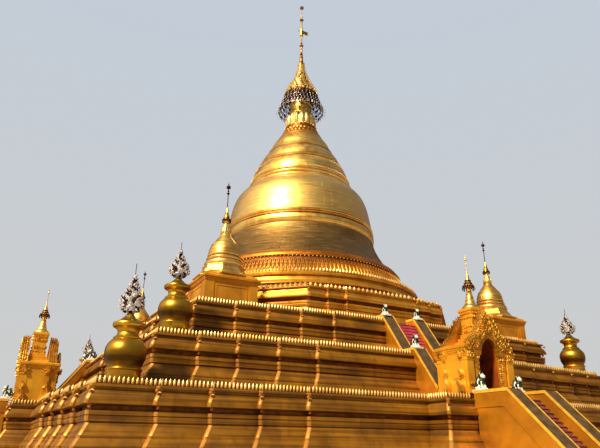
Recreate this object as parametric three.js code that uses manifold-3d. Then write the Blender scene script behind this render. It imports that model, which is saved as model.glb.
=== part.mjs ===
// A gilded brick stupa, 57 m tall, as a 1:2 scale model: square terraces with stepped corners,
// an octagonal and a round terrace, a bell, a ringed cone, a lotus collar and a metal umbrella
// crown with a turning vane. A stair climbs each side and passes through an arched gateway.
// The origin is the middle of the base, +Z is up, and the front faces -Y.

import * as THREE from "three";
import { mergeVertices } from "three/addons/utils/BufferGeometryUtils.js";
import Module from "manifold-3d";

const wasm = await Module();
wasm.setup();

// Scale and seats

const METRE = 500; // millimetres of this 1:2 model for one metre of the real stupa
const SEAT = 0.0006; // the seat between two pieces, in real metres: 0.3 mm here

// Driving dimensions, in metres of the real stupa

const STEP_OUT = 0.26; // each redent steps the wall out by this much towards the middle
const PARAPET = 0.3; // thickness of the low wall around a terrace
const TERRACE_1 = { half: 22.95, base: 0, floor: 4.15, top: 4.55, redents: [19.87, 17.26, 14.66, 11.97] };
const TERRACE_2 = { half: 19.46, base: 4.15, floor: 7.42, top: 7.82, redents: [16.93, 14.56, 11.98, 9.41] };
const TERRACE_3 = { half: 16.33, base: 7.42, floor: 10.35, top: 10.74, redents: [13.52, 11.22, 8.77, 6.22] };
const OCTAGON = { half: 14, base: 10.35, floor: 13.3, top: 13.65, chamfer: 6.65, redents: [4.85, 3.26] };
const ROUND = { base: 13.3, floor: 15.7, radius: 12.36 };

const BAY = { half: 3.8, front: 25.7 }; // the projection of terrace 1 that carries a gateway
const STAIR = { half: 2, rail: 1, rise: 0.25 }; // outer half width, rail wall and riser
const LOWER_STAIR = { rear: 25.3, railStart: 26, brow: 27.95, foot: 32.15 };
const UPPER_STAIR = { foot: 22.8, landing: 7.5, step1: 20.4, step2: 19.15, brow: 17.3, rear: 16.4 };
const NOTCH = { terrace2: 19.8, terrace3: 16.4 }; // how far each terrace is cut back for its stair

const GATE = { rear: 23.5, front: 25.4, back: 22.9, porch: 25.65, half: 2, wallTop: 7.4, axis: 24.5 };
const PEDIMENT = { half: 1.75, eaves: 7.15, tip: 9.93, front: 25.8, back: 23.1, thickness: 0.6 };
const PASSAGE = { half: 0.7, spring: 6.7, crown: 7.9 };

const CORNER_STUPA = { place: 13.7, wall: 2, cornice: 2.16 };
const POT_1 = 21.46; // distance of the pots of terrace 1 from the middle, along X and Y
const POT_2 = 18.26;

const BELL_SIDES = 28; // facets round the large turned pieces

// Courses of moulding below a terrace's cornice: how far each stands out, and how deep it lies

const COURSES = [
  [0.85, 2.75],
  [0.5, 2.2],
  [0.3, 1.5],
  [0.1, 1.05],
  [0.48, 0.8],
  [0.22, 0.2],
  [0.35, 0],
];

// Materials

const { MeshStandardMaterial } = THREE;
const finish = (color, roughness, metalness) => new MeshStandardMaterial({ color, roughness, metalness });
const gildedPlaster = () => finish(0xb9791c, 0.4, 0.7);
const goldLeaf = () => finish(0xd9a441, 0.25, 0.95);
const burnishedGold = () => finish(0xe7b84a, 0.2, 1);
const silver = () => finish(0xc9c6c2, 0.3, 0.9);
const redCarpet = () => finish(0xa5282c, 0.9, 0);

// Small helpers

const stupa = new THREE.Group();

const metres = (points) => points.map(([a, b]) => new THREE.Vector2(a * METRE, b * METRE));

function place(name, geometry, material, group = stupa) {
  const mesh = new THREE.Mesh(geometry, material);
  mesh.name = name;
  group.add(mesh);
  return mesh;
}

function solid(geometry) {
  const bare = geometry.clone();
  bare.deleteAttribute("normal");
  bare.deleteAttribute("uv");
  const merged = mergeVertices(bare, 1e-3);
  return new wasm.Manifold(
    new wasm.Mesh({
      numProp: 3,
      vertProperties: merged.getAttribute("position").array,
      triVerts: new Uint32Array(merged.index.array),
    }),
  );
}

function geometryOf(manifold) {
  const mesh = manifold.getMesh();
  const geometry = new THREE.BufferGeometry();
  geometry.setAttribute("position", new THREE.BufferAttribute(mesh.vertProperties, 3));
  geometry.setIndex(new THREE.BufferAttribute(mesh.triVerts, 1));
  return geometry.toNonIndexed();
}

const joined = (pieces) => pieces.reduce((whole, piece) => whole.add(piece));

// A box between two corners, in real metres
function block([x0, y0, z0], [x1, y1, z1]) {
  const box = new THREE.BoxGeometry((x1 - x0) * METRE, (y1 - y0) * METRE, (z1 - z0) * METRE);
  return box.translate(((x0 + x1) / 2) * METRE, ((y0 + y1) / 2) * METRE, ((z0 + z1) / 2) * METRE);
}

// A turned piece from a list of [radius, height] in real metres, which starts and ends on the axis
const turned = (points, sides) => new THREE.LatheGeometry(metres(points), sides).rotateX(Math.PI / 2);

// A slab of an outline drawn in X and Z, between two distances in front of the middle
function slab(outline, near, far) {
  const shape = new THREE.Shape(metres(outline));
  const body = new THREE.ExtrudeGeometry(shape, { depth: (far - near) * METRE, bevelEnabled: false });
  return body.rotateX(Math.PI / 2).translate(0, -near * METRE, 0);
}

// A slab of an outline drawn in distance from the middle and Z, between two values of X
function sideSlab(outline, left, right) {
  const shape = new THREE.Shape(metres(outline));
  const body = new THREE.ExtrudeGeometry(shape, { depth: (right - left) * METRE, bevelEnabled: false });
  return body.rotateX(Math.PI / 2).rotateZ(-Math.PI / 2).translate(right * METRE, 0, 0);
}

// Moulded terraces

// The direction in which each corner of a plan moves when its walls all move out by one metre
function mitres(plan) {
  const away = new Map();
  plan.forEach((corner, i) => {
    const before = plan[(i + plan.length - 1) % plan.length];
    const after = plan[(i + 1) % plan.length];
    const a = corner.clone().sub(before).normalize();
    const b = after.clone().sub(corner).normalize();
    const turn = 1 + a.dot(b);
    away.set(`${Math.round(corner.x)},${Math.round(corner.y)}`, [(a.y + b.y) / turn, -(a.x + b.x) / turn]);
  });
  return away;
}

// A plan carried up through courses, each a pair of stand-out and height in real metres
function moulded(plan, courses) {
  const last = courses.length - 1;
  const shape = new THREE.Shape(plan);
  const body = new THREE.ExtrudeGeometry(shape, { depth: last, steps: last, bevelEnabled: false });
  const away = mitres(plan);
  const position = body.getAttribute("position");
  for (let i = 0; i < position.count; i++) {
    const [x, y] = [position.getX(i), position.getY(i)];
    const [out, height] = courses[Math.round(position.getZ(i))];
    const [mx, my] = away.get(`${Math.round(x)},${Math.round(y)}`);
    position.setXYZ(i, x + mx * out * METRE, y + my * out * METRE, height * METRE);
  }
  return body;
}

// One side of a plan, from its left corner to its right one, for the side that faces -Y
function sideOfPlan(half, redents, bay) {
  const left = [];
  let front = half;
  for (const x of redents) {
    left.push([-x, -front], [-x, -front - STEP_OUT]);
    front += STEP_OUT;
  }
  if (bay) left.push([-bay.half, -front], [-bay.half, -bay.front]);
  const right = left.map(([x, y]) => [-x, y]).reverse();
  return [...left, ...right];
}

function fourSides(side) {
  const plan = [];
  for (let quarter = 0; quarter < 4; quarter++) {
    const turn = (quarter * Math.PI) / 2;
    for (const point of metres(side)) plan.push(point.rotateAround(new THREE.Vector2(), turn));
  }
  return plan;
}

// The courses of a terrace, from its base to its floor behind the parapet
function coursesOf({ base, floor, top }) {
  const cornice = floor + 0.08;
  const below = COURSES.filter(([, depth]) => cornice - depth > base + 0.2);
  const foot = [0.85 + (floor - base > 4 ? 0.2 : 0), base + (base > 0 ? SEAT : 0)];
  const rising = below.map(([out, depth]) => [out, cornice - depth]);
  return [foot, ...rising, [0, cornice], [0, top], [-PARAPET, top], [-PARAPET, floor]];
}

// Cuts a slot for a stair in each of the four sides, from the given distance outwards
function slotted(geometry, start, above = -1) {
  const reach = 30;
  const half = STAIR.half + SEAT;
  const slot = solid(block([-half, -reach, above], [half, -start, reach]));
  let body = solid(geometry);
  for (let quarter = 0; quarter < 4; quarter++) body = body.subtract(slot.rotate([0, 0, 90 * quarter]));
  return geometryOf(body);
}

function terraces() {
  for (const [name, terrace, bay, start] of [
    ["terrace_1", TERRACE_1, BAY, LOWER_STAIR.rear],
    ["terrace_2", TERRACE_2, null, NOTCH.terrace2],
    ["terrace_3", TERRACE_3, null, NOTCH.terrace3],
  ]) {
    const corner = [-terrace.half, -terrace.half];
    const plan = fourSides([corner, ...sideOfPlan(terrace.half, terrace.redents, bay)]);
    place(name, slotted(moulded(plan, coursesOf(terrace)), start), gildedPlaster());
  }
  const corner = [-OCTAGON.chamfer, -OCTAGON.half];
  const side = [corner, ...sideOfPlan(OCTAGON.half, OCTAGON.redents), [OCTAGON.chamfer, -OCTAGON.half]];
  place("octagon_terrace", moulded(fourSides(side), coursesOf(OCTAGON)), gildedPlaster());
}

// Turned pieces on the axis

function roundTerrace() {
  const { base, floor, radius } = ROUND;
  const profile = [
    [0, base + SEAT],
    [radius + 0.35, base + SEAT],
    [radius + 0.35, 13.85],
    [radius, 14.05],
    [radius + 0.3, 14.45],
    [radius, 14.9],
    [radius - 0.06, 15.5],
    [radius + 0.06, 15.7],
    [radius, 16.05],
    [radius - 0.3, 16.05],
    [radius - 0.3, floor],
    [0, floor],
  ];
  place("round_terrace", turned(profile, BELL_SIDES), gildedPlaster());
}

function bellAndCone() {
  const lotusRing = [
    [0, ROUND.floor + SEAT],
    [11.5, ROUND.floor + SEAT],
    [11.4, 16.2],
    [10.85, 17.4],
    [10.75, 17.5],
    [10.7, 17.85],
    [10.3, 18.2],
    [10.05, 18.25],
    [10.05, 18.4],
    [0, 18.4],
  ];
  const bell = [
    [0, 18.4 + SEAT],
    [9.95, 18.4 + SEAT],
    [9.4, 19],
    [8.4, 20],
    [8.05, 20.6],
    [7.97, 21.9],
    [8.15, 22.25],
    [7.95, 22.6],
    [8.25, 23.3],
    [7.92, 24.1],
    [7.75, 25.2],
    [7.6, 26.1],
    [7.35, 26.9],
    [6.95, 27.5],
    [6.45, 28],
    [5.6, 28.35],
    [0, 28.35],
  ];
  const cone = [
    [0, 28.35 + SEAT],
    [5.6, 28.35 + SEAT],
    [5.98, 28.6],
    [5.9, 29.3],
    [5.75, 29.5],
    [5.45, 30.4],
    [4.9, 31.35],
    [4.85, 31.8],
    [4.6, 32.1],
    [3.8, 33.3],
    [3.7, 33.8],
    [3.4, 34.1],
    [2.6, 35.6],
    [2.35, 36.1],
    [2.05, 36.6],
    [0, 36.6],
  ];
  const lotus = [
    [0, 36.6 + SEAT],
    [1.95, 36.6 + SEAT],
    [1.8, 37.3],
    [1.86, 38.4],
    [1.72, 39.2],
    [1.3, 39.4],
    [0, 39.4],
  ];
  const bud = [
    [0, 39.4 + SEAT],
    [1.25, 39.4 + SEAT],
    [1.34, 40.2],
    [1.1, 41.6],
    [0.55, 43],
    [0, 43],
  ];
  place("lotus_ring", turned(lotusRing, BELL_SIDES), gildedPlaster());
  place("bell", turned(bell, BELL_SIDES), goldLeaf());
  place("ringed_cone", turned(cone, BELL_SIDES), goldLeaf());
  place("lotus_collar", turned(lotus, 20), burnishedGold());
  place("bud", turned(bud, 16), burnishedGold());
}

// The metal crown, its mast and the vane that turns on it

const MAST = 0.1; // radius of the mast above the crown
const VANE = { low: 51.87, high: 52.9, clear: 0.012, hub: 0.19, reach: 1.05 };

function crownAndMast() {
  const skirt = [
    [2.75, 40.4],
    [2.6, 41.4],
    [2.3, 42.9],
    [1.75, 43.6],
    [1.3, 44.6],
    [0.85, 45.8],
    [0.55, 46.5],
    [0.38, 47.2],
  ];
  const wall = 0.1;
  const inside = skirt.slice(0, -1).map(([r, z]) => [r - wall, z - wall]).reverse();
  const bore = MAST + 0.02;
  inside[inside.length - 1][1] = skirt[0][1];
  const shell = [...skirt, [bore, 47.2], [bore, 46.9], [0.36, 46.9], ...inside, skirt[0]];
  place("umbrella_crown", turned(shell, 14), goldLeaf());
  const mast = [
    [0, 43 + SEAT],
    [0.4, 43 + SEAT],
    [0.2, 43.6],
    [0.2, 46.6],
    [0.34, 46.7],
    [0.34, 46.9 - SEAT],
    [MAST, 46.9 - SEAT],
    [MAST, 49.8],
    [0.26, 50.1],
    [MAST, 50.4],
    [MAST, 51.7],
    [0.22, 51.75],
    [0.22, VANE.low - SEAT],
    [MAST, VANE.low - SEAT],
    [MAST, 54.1],
    [0.24, 54.4],
    [MAST * 0.8, 54.7],
    [MAST * 0.6, 56.2],
    [0.24, 56.5],
    [0.05, 56.8],
    [0, 57],
  ];
  place("mast", turned(mast, 6), goldLeaf());
}

function vane() {
  const { low, high, clear, hub, reach } = VANE;
  const bore = MAST + clear;
  const ring = [
    [bore, low],
    [hub, low],
    [hub, high],
    [bore, high],
    [bore, low],
  ];
  const flag = [
    [hub - 0.04, low + 0.2],
    [reach, low + 0.3],
    [reach - 0.2, low + 0.55],
    [reach, low + 0.8],
    [hub - 0.04, low + 0.9],
  ];
  const half = 0.02;
  const body = joined([solid(turned(ring, 12)), solid(slab(flag, -half, half))]);
  place("vane", geometryOf(body), goldLeaf());
}

// Corner stupas on terrace 3

function cornerStupa() {
  const { wall, cornice } = CORNER_STUPA;
  const floor = TERRACE_3.floor;
  const square = metres([
    [-wall, -wall],
    [wall, -wall],
    [wall, wall],
    [-wall, wall],
  ]);
  const lip = cornice - wall;
  const plinth = moulded(square, [
    [0, floor + SEAT],
    [0, 12.3],
    [lip, 12.4],
    [lip, 12.68],
    [-0.45, 13.1],
  ]);
  const drum = new THREE.CylinderGeometry(1.5 * METRE, 1.75 * METRE, 1.25 * METRE, 8, 1, false, Math.PI / 8);
  drum.rotateX(Math.PI / 2).translate(0, 0, 13.6 * METRE);
  const spire = turned(
    [
      [0, 13.9],
      [1.3, 13.9],
      [1.42, 14.4],
      [1.3, 14.8],
      [1.22, 15.2],
      [0.95, 15.7],
      [0.6, 16.2],
      [0.34, 16.7],
      [0.4, 16.9],
      [0.27, 17.2],
      [0.38, 17.65],
      [0.18, 18.15],
      [0.06, 18.7],
      [0.05, 20.2],
      [0.18, 20.45],
      [0.03, 20.7],
      [0, 20.95],
    ],
    10,
  );
  return geometryOf(joined([solid(plinth), solid(drum), solid(spire)]));
}

// Vases with a cut-metal flower

function vase(floor) {
  const profile = [
    [0, SEAT],
    [0.88, SEAT],
    [0.87, 0.86],
    [0.91, 0.96],
    [0.85, 1.06],
    [1.02, 1.35],
    [1.12, 1.79],
    [1.04, 2.16],
    [0.7, 2.5],
    [0.54, 2.78],
    [0.62, 3.03],
    [0.81, 3.15],
    [0.81, 3.3],
    [0.42, 3.54],
    [0.12, 3.85],
    [0, 3.85],
  ];
  return turned(profile.map(([r, z]) => [r, z + floor]), 10);
}

function flower(floor, height) {
  const profile = [
    [0, SEAT],
    [0.1, SEAT],
    [0.6, 0.06 * height],
    [0.8, 0.17 * height],
    [0.68, 0.27 * height],
    [0.42, 0.42 * height],
    [0.2, 0.56 * height],
    [0.05, 0.66 * height],
    [0, height],
  ];
  return turned(profile.map(([r, z]) => [r, z + floor + 3.85]), 8);
}

function corners() {
  const signs = [
    ["south_west", -1, -1],
    ["south_east", 1, -1],
    ["north_east", 1, 1],
    ["north_west", -1, 1],
  ];
  for (const [where, sx, sy] of signs) {
    const at = (piece, distance) => piece.position.set(sx * distance * METRE, sy * distance * METRE, 0);
    at(place(`corner_stupa_${where}`, cornerStupa(), gildedPlaster()), CORNER_STUPA.place);
    for (const [tier, floor, distance, height] of [
      ["low", TERRACE_1.floor, POT_1, 2.75],
      ["high", TERRACE_2.floor, POT_2, 2.35],
    ]) {
      at(place(`vase_${tier}_${where}`, vase(floor), goldLeaf()), distance);
      at(place(`flower_${tier}_${where}`, flower(floor, height), silver()), distance);
    }
  }
}

// Stairs, with rail walls that carry seated lions

// A flight as a list of points, from its foot to its head, where distance falls as height grows
function flight([footAt, footZ], [headAt, headZ]) {
  const count = Math.round((headZ - footZ) / STAIR.rise);
  const going = (footAt - headAt) / count;
  const rise = (headZ - footZ) / count;
  const points = [];
  for (let i = 0; i < count; i++) {
    points.push([footAt - i * going, footZ + i * rise], [footAt - i * going, footZ + (i + 1) * rise]);
  }
  return points;
}

const LION_PLACE = 1.66; // how far each lion sits to the side of the stair's middle
const LION = [
  [0, 0],
  [0.6, 0],
  [0.48, 0.45],
  [0.56, 0.7],
  [0.3, 0.86],
  [0.02, 0.3],
];

// A seated lion that faces out, its rump at the given distance, sunk a little into its seat
function lions(distance, height) {
  const outline = LION.map(([along, up]) => [distance + along, height + up - 0.01]);
  return [-1, 1].map((side) => solid(sideSlab(outline, side * LION_PLACE - 0.15, side * LION_PLACE + 0.15)));
}

function railWalls(outline) {
  const inner = STAIR.half - STAIR.rail;
  return [
    solid(sideSlab(outline, -STAIR.half, -inner)),
    solid(sideSlab(outline, inner, STAIR.half)),
  ];
}

function lowerStair() {
  const { rear, railStart, brow, foot } = LOWER_STAIR;
  const floor = TERRACE_1.floor;
  const rail = floor + 0.5;
  const treads = [[rear + SEAT, 0], ...flight([foot, 0], [brow, floor]), [rear + SEAT, floor]];
  const wall = [
    [railStart, 0],
    [foot + 1.05, 0],
    [foot + 1.05, 0.5],
    [foot + 0.55, 0.5],
    [brow + 0.55, rail],
    [railStart, rail],
  ];
  const inner = STAIR.half - STAIR.rail / 2;
  const steps = solid(sideSlab(treads, -inner, inner));
  const landing = solid(block([-STAIR.half, -railStart - 0.1, 0], [STAIR.half, -rear - SEAT, floor]));
  return geometryOf(joined([steps, landing, ...railWalls(wall), ...lions(railStart + 0.1, rail)]));
}

function upperStair() {
  const { foot, landing, step1, step2, brow, rear } = UPPER_STAIR;
  const floors = [TERRACE_1.floor + SEAT, TERRACE_2.floor + SEAT, TERRACE_3.floor];
  const notch = NOTCH.terrace2 + SEAT;
  const gate = GATE.back - SEAT;
  const rests = [7.95, 10.92]; // the level tops of the rail wall, where the lions sit
  const restAt = 20.83;
  const treads = [
    [notch, floors[0]],
    ...flight([foot, floors[0]], [step1, landing]),
    ...flight([step2, landing], [brow, floors[2]]),
    [rear + SEAT, floors[2]],
    [rear + SEAT, floors[1]],
    [notch, floors[1]],
  ];
  const wall = [
    [notch, floors[0]],
    [gate, floors[0]],
    [gate, 5.15],
    [restAt, rests[0]],
    [restAt - 1.29, rests[0]],
    [brow + 0.05, rests[1]],
    [rear + SEAT, rests[1]],
    [rear + SEAT, floors[1]],
    [notch, floors[1]],
  ];
  const inner = STAIR.half - STAIR.rail / 2;
  const steps = solid(sideSlab(treads, -inner, inner));
  const pieces = [steps, ...railWalls(wall)];
  pieces.push(...lions(restAt - 0.73, rests[0]), ...lions(brow - 0.6, rests[1]));
  return geometryOf(joined(pieces));
}

// Gateways

// A pointed arch between two heights, as an outline that runs down to a base
function archOutline(half, base, spring, crown) {
  const rise = crown - spring;
  const left = [];
  for (const t of [0, 0.25, 0.5, 0.75, 1]) {
    const angle = (t * Math.PI) / 2;
    left.push([-half * Math.cos(angle), spring + rise * (0.75 * Math.sin(angle) + 0.25 * t)]);
  }
  const right = left.slice(0, -1).map(([x, z]) => [-x, z]).reverse();
  return [[half, base], ...[...left, ...right].reverse(), [-half, base]].reverse();
}

// The flame outline of a pediment, whose flank narrows in a concave line from the eaves to the tip
function flameOutline({ half, eaves, tip }) {
  const flank = [
    [1, 0],
    [1.09, 0.1],
    [0.85, 0.2],
    [0.44, 0.42],
    [0.26, 0.63],
    [0.12, 0.83],
  ];
  const at = (x, t) => [x * half, eaves + t * (tip - eaves)];
  const left = flank.map(([x, t]) => at(-x, t));
  const right = flank.map(([x, t]) => at(x, t)).reverse();
  return [...left, [0, tip], ...right].reverse();
}

function gateway() {
  const { rear, front, back, porch, half, wallTop, axis } = GATE;
  const floor = TERRACE_1.floor + SEAT;
  const lip = 0.14;
  const outline = flameOutline(PEDIMENT);
  const tower = (reach, low, high) => block([-reach, -axis - reach, low], [reach, -axis + reach, high]);
  const pieces = [
    block([-half, -front, floor], [half, -rear, wallTop]),
    block([-half - lip, -front - lip, wallTop - 0.1], [half + lip, -rear + lip, wallTop + 0.15]),
    block([-half + 0.05, -porch, floor], [half - 0.05, -front + 0.1, wallTop]),
    block([-half + 0.1, -rear - 0.1, floor], [half - 0.1, -back, wallTop]),
    slab(outline, PEDIMENT.front - PEDIMENT.thickness, PEDIMENT.front),
    slab(outline, PEDIMENT.back, PEDIMENT.back + PEDIMENT.thickness),
    tower(0.9, wallTop, 8),
    tower(0.7, 7.9, 8.5),
    tower(0.5, 8.4, 10.1),
    tower(0.62, 10, 10.2),
  ].map(solid);
  const passage = slab(archOutline(PASSAGE.half, floor - 1, PASSAGE.spring, PASSAGE.crown), 20, 27);
  return geometryOf(joined(pieces).subtract(solid(passage)));
}

function gatewaySpire() {
  const profile = [
    [0, 10.2 + SEAT],
    [0.6, 10.2 + SEAT],
    [0.5, 10.4],
    [0.3, 10.7],
    [0.22, 11.1],
    [0.17, 11.5],
    [0.44, 11.75],
    [0.3, 12],
    [0.1, 12.6],
    [0.04, 12.9],
    [0.04, 13.6],
    [0.1, 13.75],
    [0, 14],
  ];
  return turned(profile, 8).translate(0, -GATE.axis * METRE, 0);
}

function fourFronts() {
  ["south", "east", "north", "west"].forEach((where, quarter) => {
    const side = new THREE.Group();
    side.rotation.z = (quarter * Math.PI) / 2;
    stupa.add(side);
    place(`lower_stair_${where}`, lowerStair(), redCarpet(), side);
    place(`upper_stair_${where}`, upperStair(), redCarpet(), side);
    place(`gateway_${where}`, gateway(), gildedPlaster(), side);
    place(`gateway_spire_${where}`, gatewaySpire(), goldLeaf(), side);
  });
}

terraces();
roundTerrace();
bellAndCone();
crownAndMast();
vane();
corners();
fourFronts();

export default stupa;
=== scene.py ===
# %% [markdown]
# # A gilded stupa at half its real size
#
# This stupa is a solid mound of brick under gilded plaster. Square terraces with stepped corners
# carry an octagon, a round drum, a bell and a ringed cone, and a metal crown ends it. A stair
# climbs each of the four sides and passes through an arched gateway. The lesson starts from a
# frame of plain solids at the right size, and builds the visible surfaces around them.

import math
import random

import bmesh
import bpy
from mathutils import Matrix, Vector


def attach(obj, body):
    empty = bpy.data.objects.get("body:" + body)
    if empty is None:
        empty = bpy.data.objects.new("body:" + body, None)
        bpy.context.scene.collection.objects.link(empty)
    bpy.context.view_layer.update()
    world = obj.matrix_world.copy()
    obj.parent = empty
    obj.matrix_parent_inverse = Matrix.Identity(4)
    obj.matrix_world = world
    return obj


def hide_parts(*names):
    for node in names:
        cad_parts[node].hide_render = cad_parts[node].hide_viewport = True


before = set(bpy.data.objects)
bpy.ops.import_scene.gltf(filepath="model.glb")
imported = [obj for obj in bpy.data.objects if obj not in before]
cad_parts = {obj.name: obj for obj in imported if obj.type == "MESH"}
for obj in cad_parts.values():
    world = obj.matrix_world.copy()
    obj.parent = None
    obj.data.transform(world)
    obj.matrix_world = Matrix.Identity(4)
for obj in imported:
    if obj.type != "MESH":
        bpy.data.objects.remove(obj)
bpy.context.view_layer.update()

# %% [markdown]
# ## One scale for everything
#
# Builders measure the real stupa, so every shape below has its sizes in metres of the real one. A
# finished piece is made half as large in one place, when its mesh is written. That keeps each
# number easy to check against a photo or a tape measure. Only the patterns and bumps of the
# finishes are sized for the model. Four walks go round the building, one on each of the lower
# terraces, and their heights are used again and again.

# %% Scale and names
MODEL_SCALE = 0.5
MASONRY = "stupa"
FLOOR_1, FLOOR_2, FLOOR_3, FLOOR_4 = 4.15, 7.42, 10.35, 13.3
FRONTS = ("south", "east", "north", "west")
CORNERS = {"south_west": (-1, -1), "south_east": (1, -1), "north_east": (1, 1), "north_west": (-1, 1)}
random.seed(7)
print("scale", MODEL_SCALE, "of the real stupa")

# %% [markdown]
# ## The camera
#
# The photo was taken from the ground near the left front corner, at eye level, with the camera
# tilted up by 22 degrees. The lens and the place come from lines that are level or square on the
# real building: their vanishing points fix the tilt and heading. The distance follows from the 57
# metres that a stupa of this kind stands high.

# %% Camera
EYE = Vector((-27.13, -50.98, 1.6))
HEADING = math.radians(28.05)
TILT_UP = math.radians(22.03)
ROLL = math.radians(0.54)
LENS_PIXELS = 548
PHOTO_WIDTH = 600
SENSOR = 36

lens = bpy.data.cameras.new("photo_lens")
lens.sensor_width = SENSOR
lens.lens = LENS_PIXELS / PHOTO_WIDTH * SENSOR
lens.clip_end = 2000
camera = bpy.data.objects.new("photo_camera", lens)
turn = Matrix.Rotation(-HEADING, 4, "Z") @ Matrix.Rotation(math.pi / 2 + TILT_UP, 4, "X")
camera.matrix_world = Matrix.Translation(EYE * MODEL_SCALE) @ turn @ Matrix.Rotation(ROLL, 4, "Z")
bpy.context.scene.collection.objects.link(camera)
bpy.context.scene.camera = camera
print("lens", round(lens.lens, 2), "mm")

# %% [markdown]
# ## Colours from a paint card
#
# A colour picked on a screen is stored in sRGB, which is brighter in the middle than light
# really is. Blender's shaders count in linear light, so one function turns a hex value into
# linear numbers.

# %% Colour helper
def paint(code):
    """A hex colour as linear red, green, blue and alpha."""
    parts = [int(code[i:i + 2], 16) / 255 for i in (1, 3, 5)]
    return (*[c / 12.92 if c <= 0.04045 else ((c + 0.055) / 1.055) ** 2.4 for c in parts], 1)


print("gold paint in linear light:", [round(c, 3) for c in paint("#D9951F")])

# %% [markdown]
# ## Adding a node
#
# A material is a small graph. One helper adds a node, sets its options, and fills its inputs, by
# name or by number: a socket is linked, and anything else becomes the input's own value.

# %% Node helper
def add(tree, kind, options=None, inputs=None):
    """Adds a node with its options and inputs to a node tree."""
    made = tree.nodes.new(kind)
    for name, value in (options or {}).items():
        setattr(made, name, value)
    for name, value in (inputs or {}).items():
        if isinstance(value, bpy.types.NodeSocket):
            tree.links.new(value, made.inputs[name])
        else:
            made.inputs[name].default_value = value
    return made


def new_material(name):
    """An empty material: its tree and the object's own coordinates."""
    material = bpy.data.materials.new(name)
    material.use_nodes = True
    material.node_tree.nodes.clear()
    return material, material.node_tree, add(material.node_tree, "ShaderNodeTexCoord").outputs["Object"]


def surfaced(material, inputs):
    """Gives a material its shader and its output, and returns it."""
    shader = add(material.node_tree, "ShaderNodeBsdfPrincipled", {}, inputs)
    add(material.node_tree, "ShaderNodeOutputMaterial", {}, {"Surface": shader.outputs["BSDF"]})
    return material


def blend_of(tree, share, low, high):
    """Mixes two colours, hex or linked, by a share from 0 to 1."""
    low, high = (paint(colour) if isinstance(colour, str) else colour for colour in (low, high))
    return add(tree, "ShaderNodeMix", {"data_type": "RGBA"}, {"Factor": share, 6: low, 7: high}).outputs[2]


def grain(tree, place, size_mm, stretch=(1, 1, 1), detail=4):
    """Noise whose patches are about size_mm across, stretched along an axis by a low number."""
    scaled = add(tree, "ShaderNodeMapping", {}, {"Vector": place, "Scale": stretch})
    inputs = {"Vector": scaled.outputs["Vector"], "Scale": 1000 / size_mm, "Detail": detail}
    return add(tree, "ShaderNodeTexNoise", {}, inputs).outputs["Fac"]


def ramp(tree, value, low, high, start=0.0, end=1.0):
    """Maps a value between low and high to start and end, and clamps it."""
    inputs = {"Value": value, "From Min": low, "From Max": high, "To Min": start, "To Max": end}
    return add(tree, "ShaderNodeMapRange", {}, inputs).outputs["Result"]


def relief(tree, height, depth_mm, under=None):
    """A bump of the given depth; under is the bump that it adds to."""
    inputs = {"Height": height, "Distance": depth_mm / 1000, "Strength": 1.0}
    if under:
        inputs["Normal"] = under
    return add(tree, "ShaderNodeBump", {}, inputs).outputs["Normal"]


# %% [markdown]
# ## The floor and the light
#
# The photo's afternoon sun stands far to the left of the camera, about 43 degrees up. A studio
# copy of it is one large warm key light from the same side, so that left-facing walls glow and the
# front stays deeper in tone. A weak broad lamp from the left rear lifts the surfaces that turn
# away. Gold mirrors what stands around it: the room behind the camera is darker than the backdrop
# and a little lighter to the right, so that polished gold gets deep tones as well as bright ones.

# %% Stage
SUN_AZIMUTH = math.radians(64)
SUN_HEIGHT = math.radians(43)
FLOOR_RADIUS = 600


def make_floor():
    """A pale round floor that ends far behind the stupa."""
    bm = bmesh.new()
    bmesh.ops.create_circle(bm, cap_ends=True, radius=FLOOR_RADIUS, segments=64)
    mesh = bpy.data.meshes.new("studio_floor")
    bm.to_mesh(mesh)
    bm.free()
    floor = bpy.data.objects.new("studio_floor", mesh)
    bpy.context.scene.collection.objects.link(floor)
    material, tree, place = new_material("pale floor paint")
    tone = blend_of(tree, grain(tree, place, 4000), "#ABA7A0", "#B4B0AA")
    mesh.materials.append(surfaced(material, {"Base Color": tone, "Roughness": 0.8}))


def make_light(name, azimuth, height, strength, colour, softness):
    """A sun-like lamp from a side, counted from the front towards the left."""
    lamp = bpy.data.lights.new(name, "SUN")
    lamp.energy, lamp.color, lamp.angle = strength, paint(colour)[:3], math.radians(softness)
    held = bpy.data.objects.new(name, lamp)
    side = (-math.sin(azimuth) * math.cos(height), -math.cos(azimuth) * math.cos(height), math.sin(height))
    held.rotation_euler = Vector(side).to_track_quat("Z", "Y").to_euler()
    bpy.context.scene.collection.objects.link(held)


def make_sky():
    """A pale backdrop for the camera, and a darker room for the gold to mirror."""
    world = bpy.data.worlds.new("studio sky")
    bpy.context.scene.world = world
    world.use_nodes = True
    tree = world.node_tree
    tree.nodes.clear()
    way = add(tree, "ShaderNodeTexCoord").outputs["Generated"]
    toward = add(tree, "ShaderNodeSeparateXYZ", {}, {"Vector": way}).outputs
    backdrop = blend_of(tree, ramp(tree, toward["Z"], -0.1, 0.9), "#D9D7D2", "#C9D6E6")
    walls = blend_of(tree, ramp(tree, toward["X"], 0.35, 0.95), "#5A4634", "#B88C58")
    room = blend_of(tree, ramp(tree, toward["Z"], -0.05, 0.85), walls, "#A3AEBC")
    mirrored, seen = (
        add(tree, "ShaderNodeBackground", {}, {"Color": colour, "Strength": strength}).outputs["Background"]
        for colour, strength in ((room, 0.62), (backdrop, 0.9))
    )
    by_camera = add(tree, "ShaderNodeLightPath").outputs["Is Camera Ray"]
    sky = add(tree, "ShaderNodeMixShader", {}, {"Fac": by_camera, 1: mirrored, 2: seen})
    add(tree, "ShaderNodeOutputWorld", {}, {"Surface": sky.outputs["Shader"]})


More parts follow.
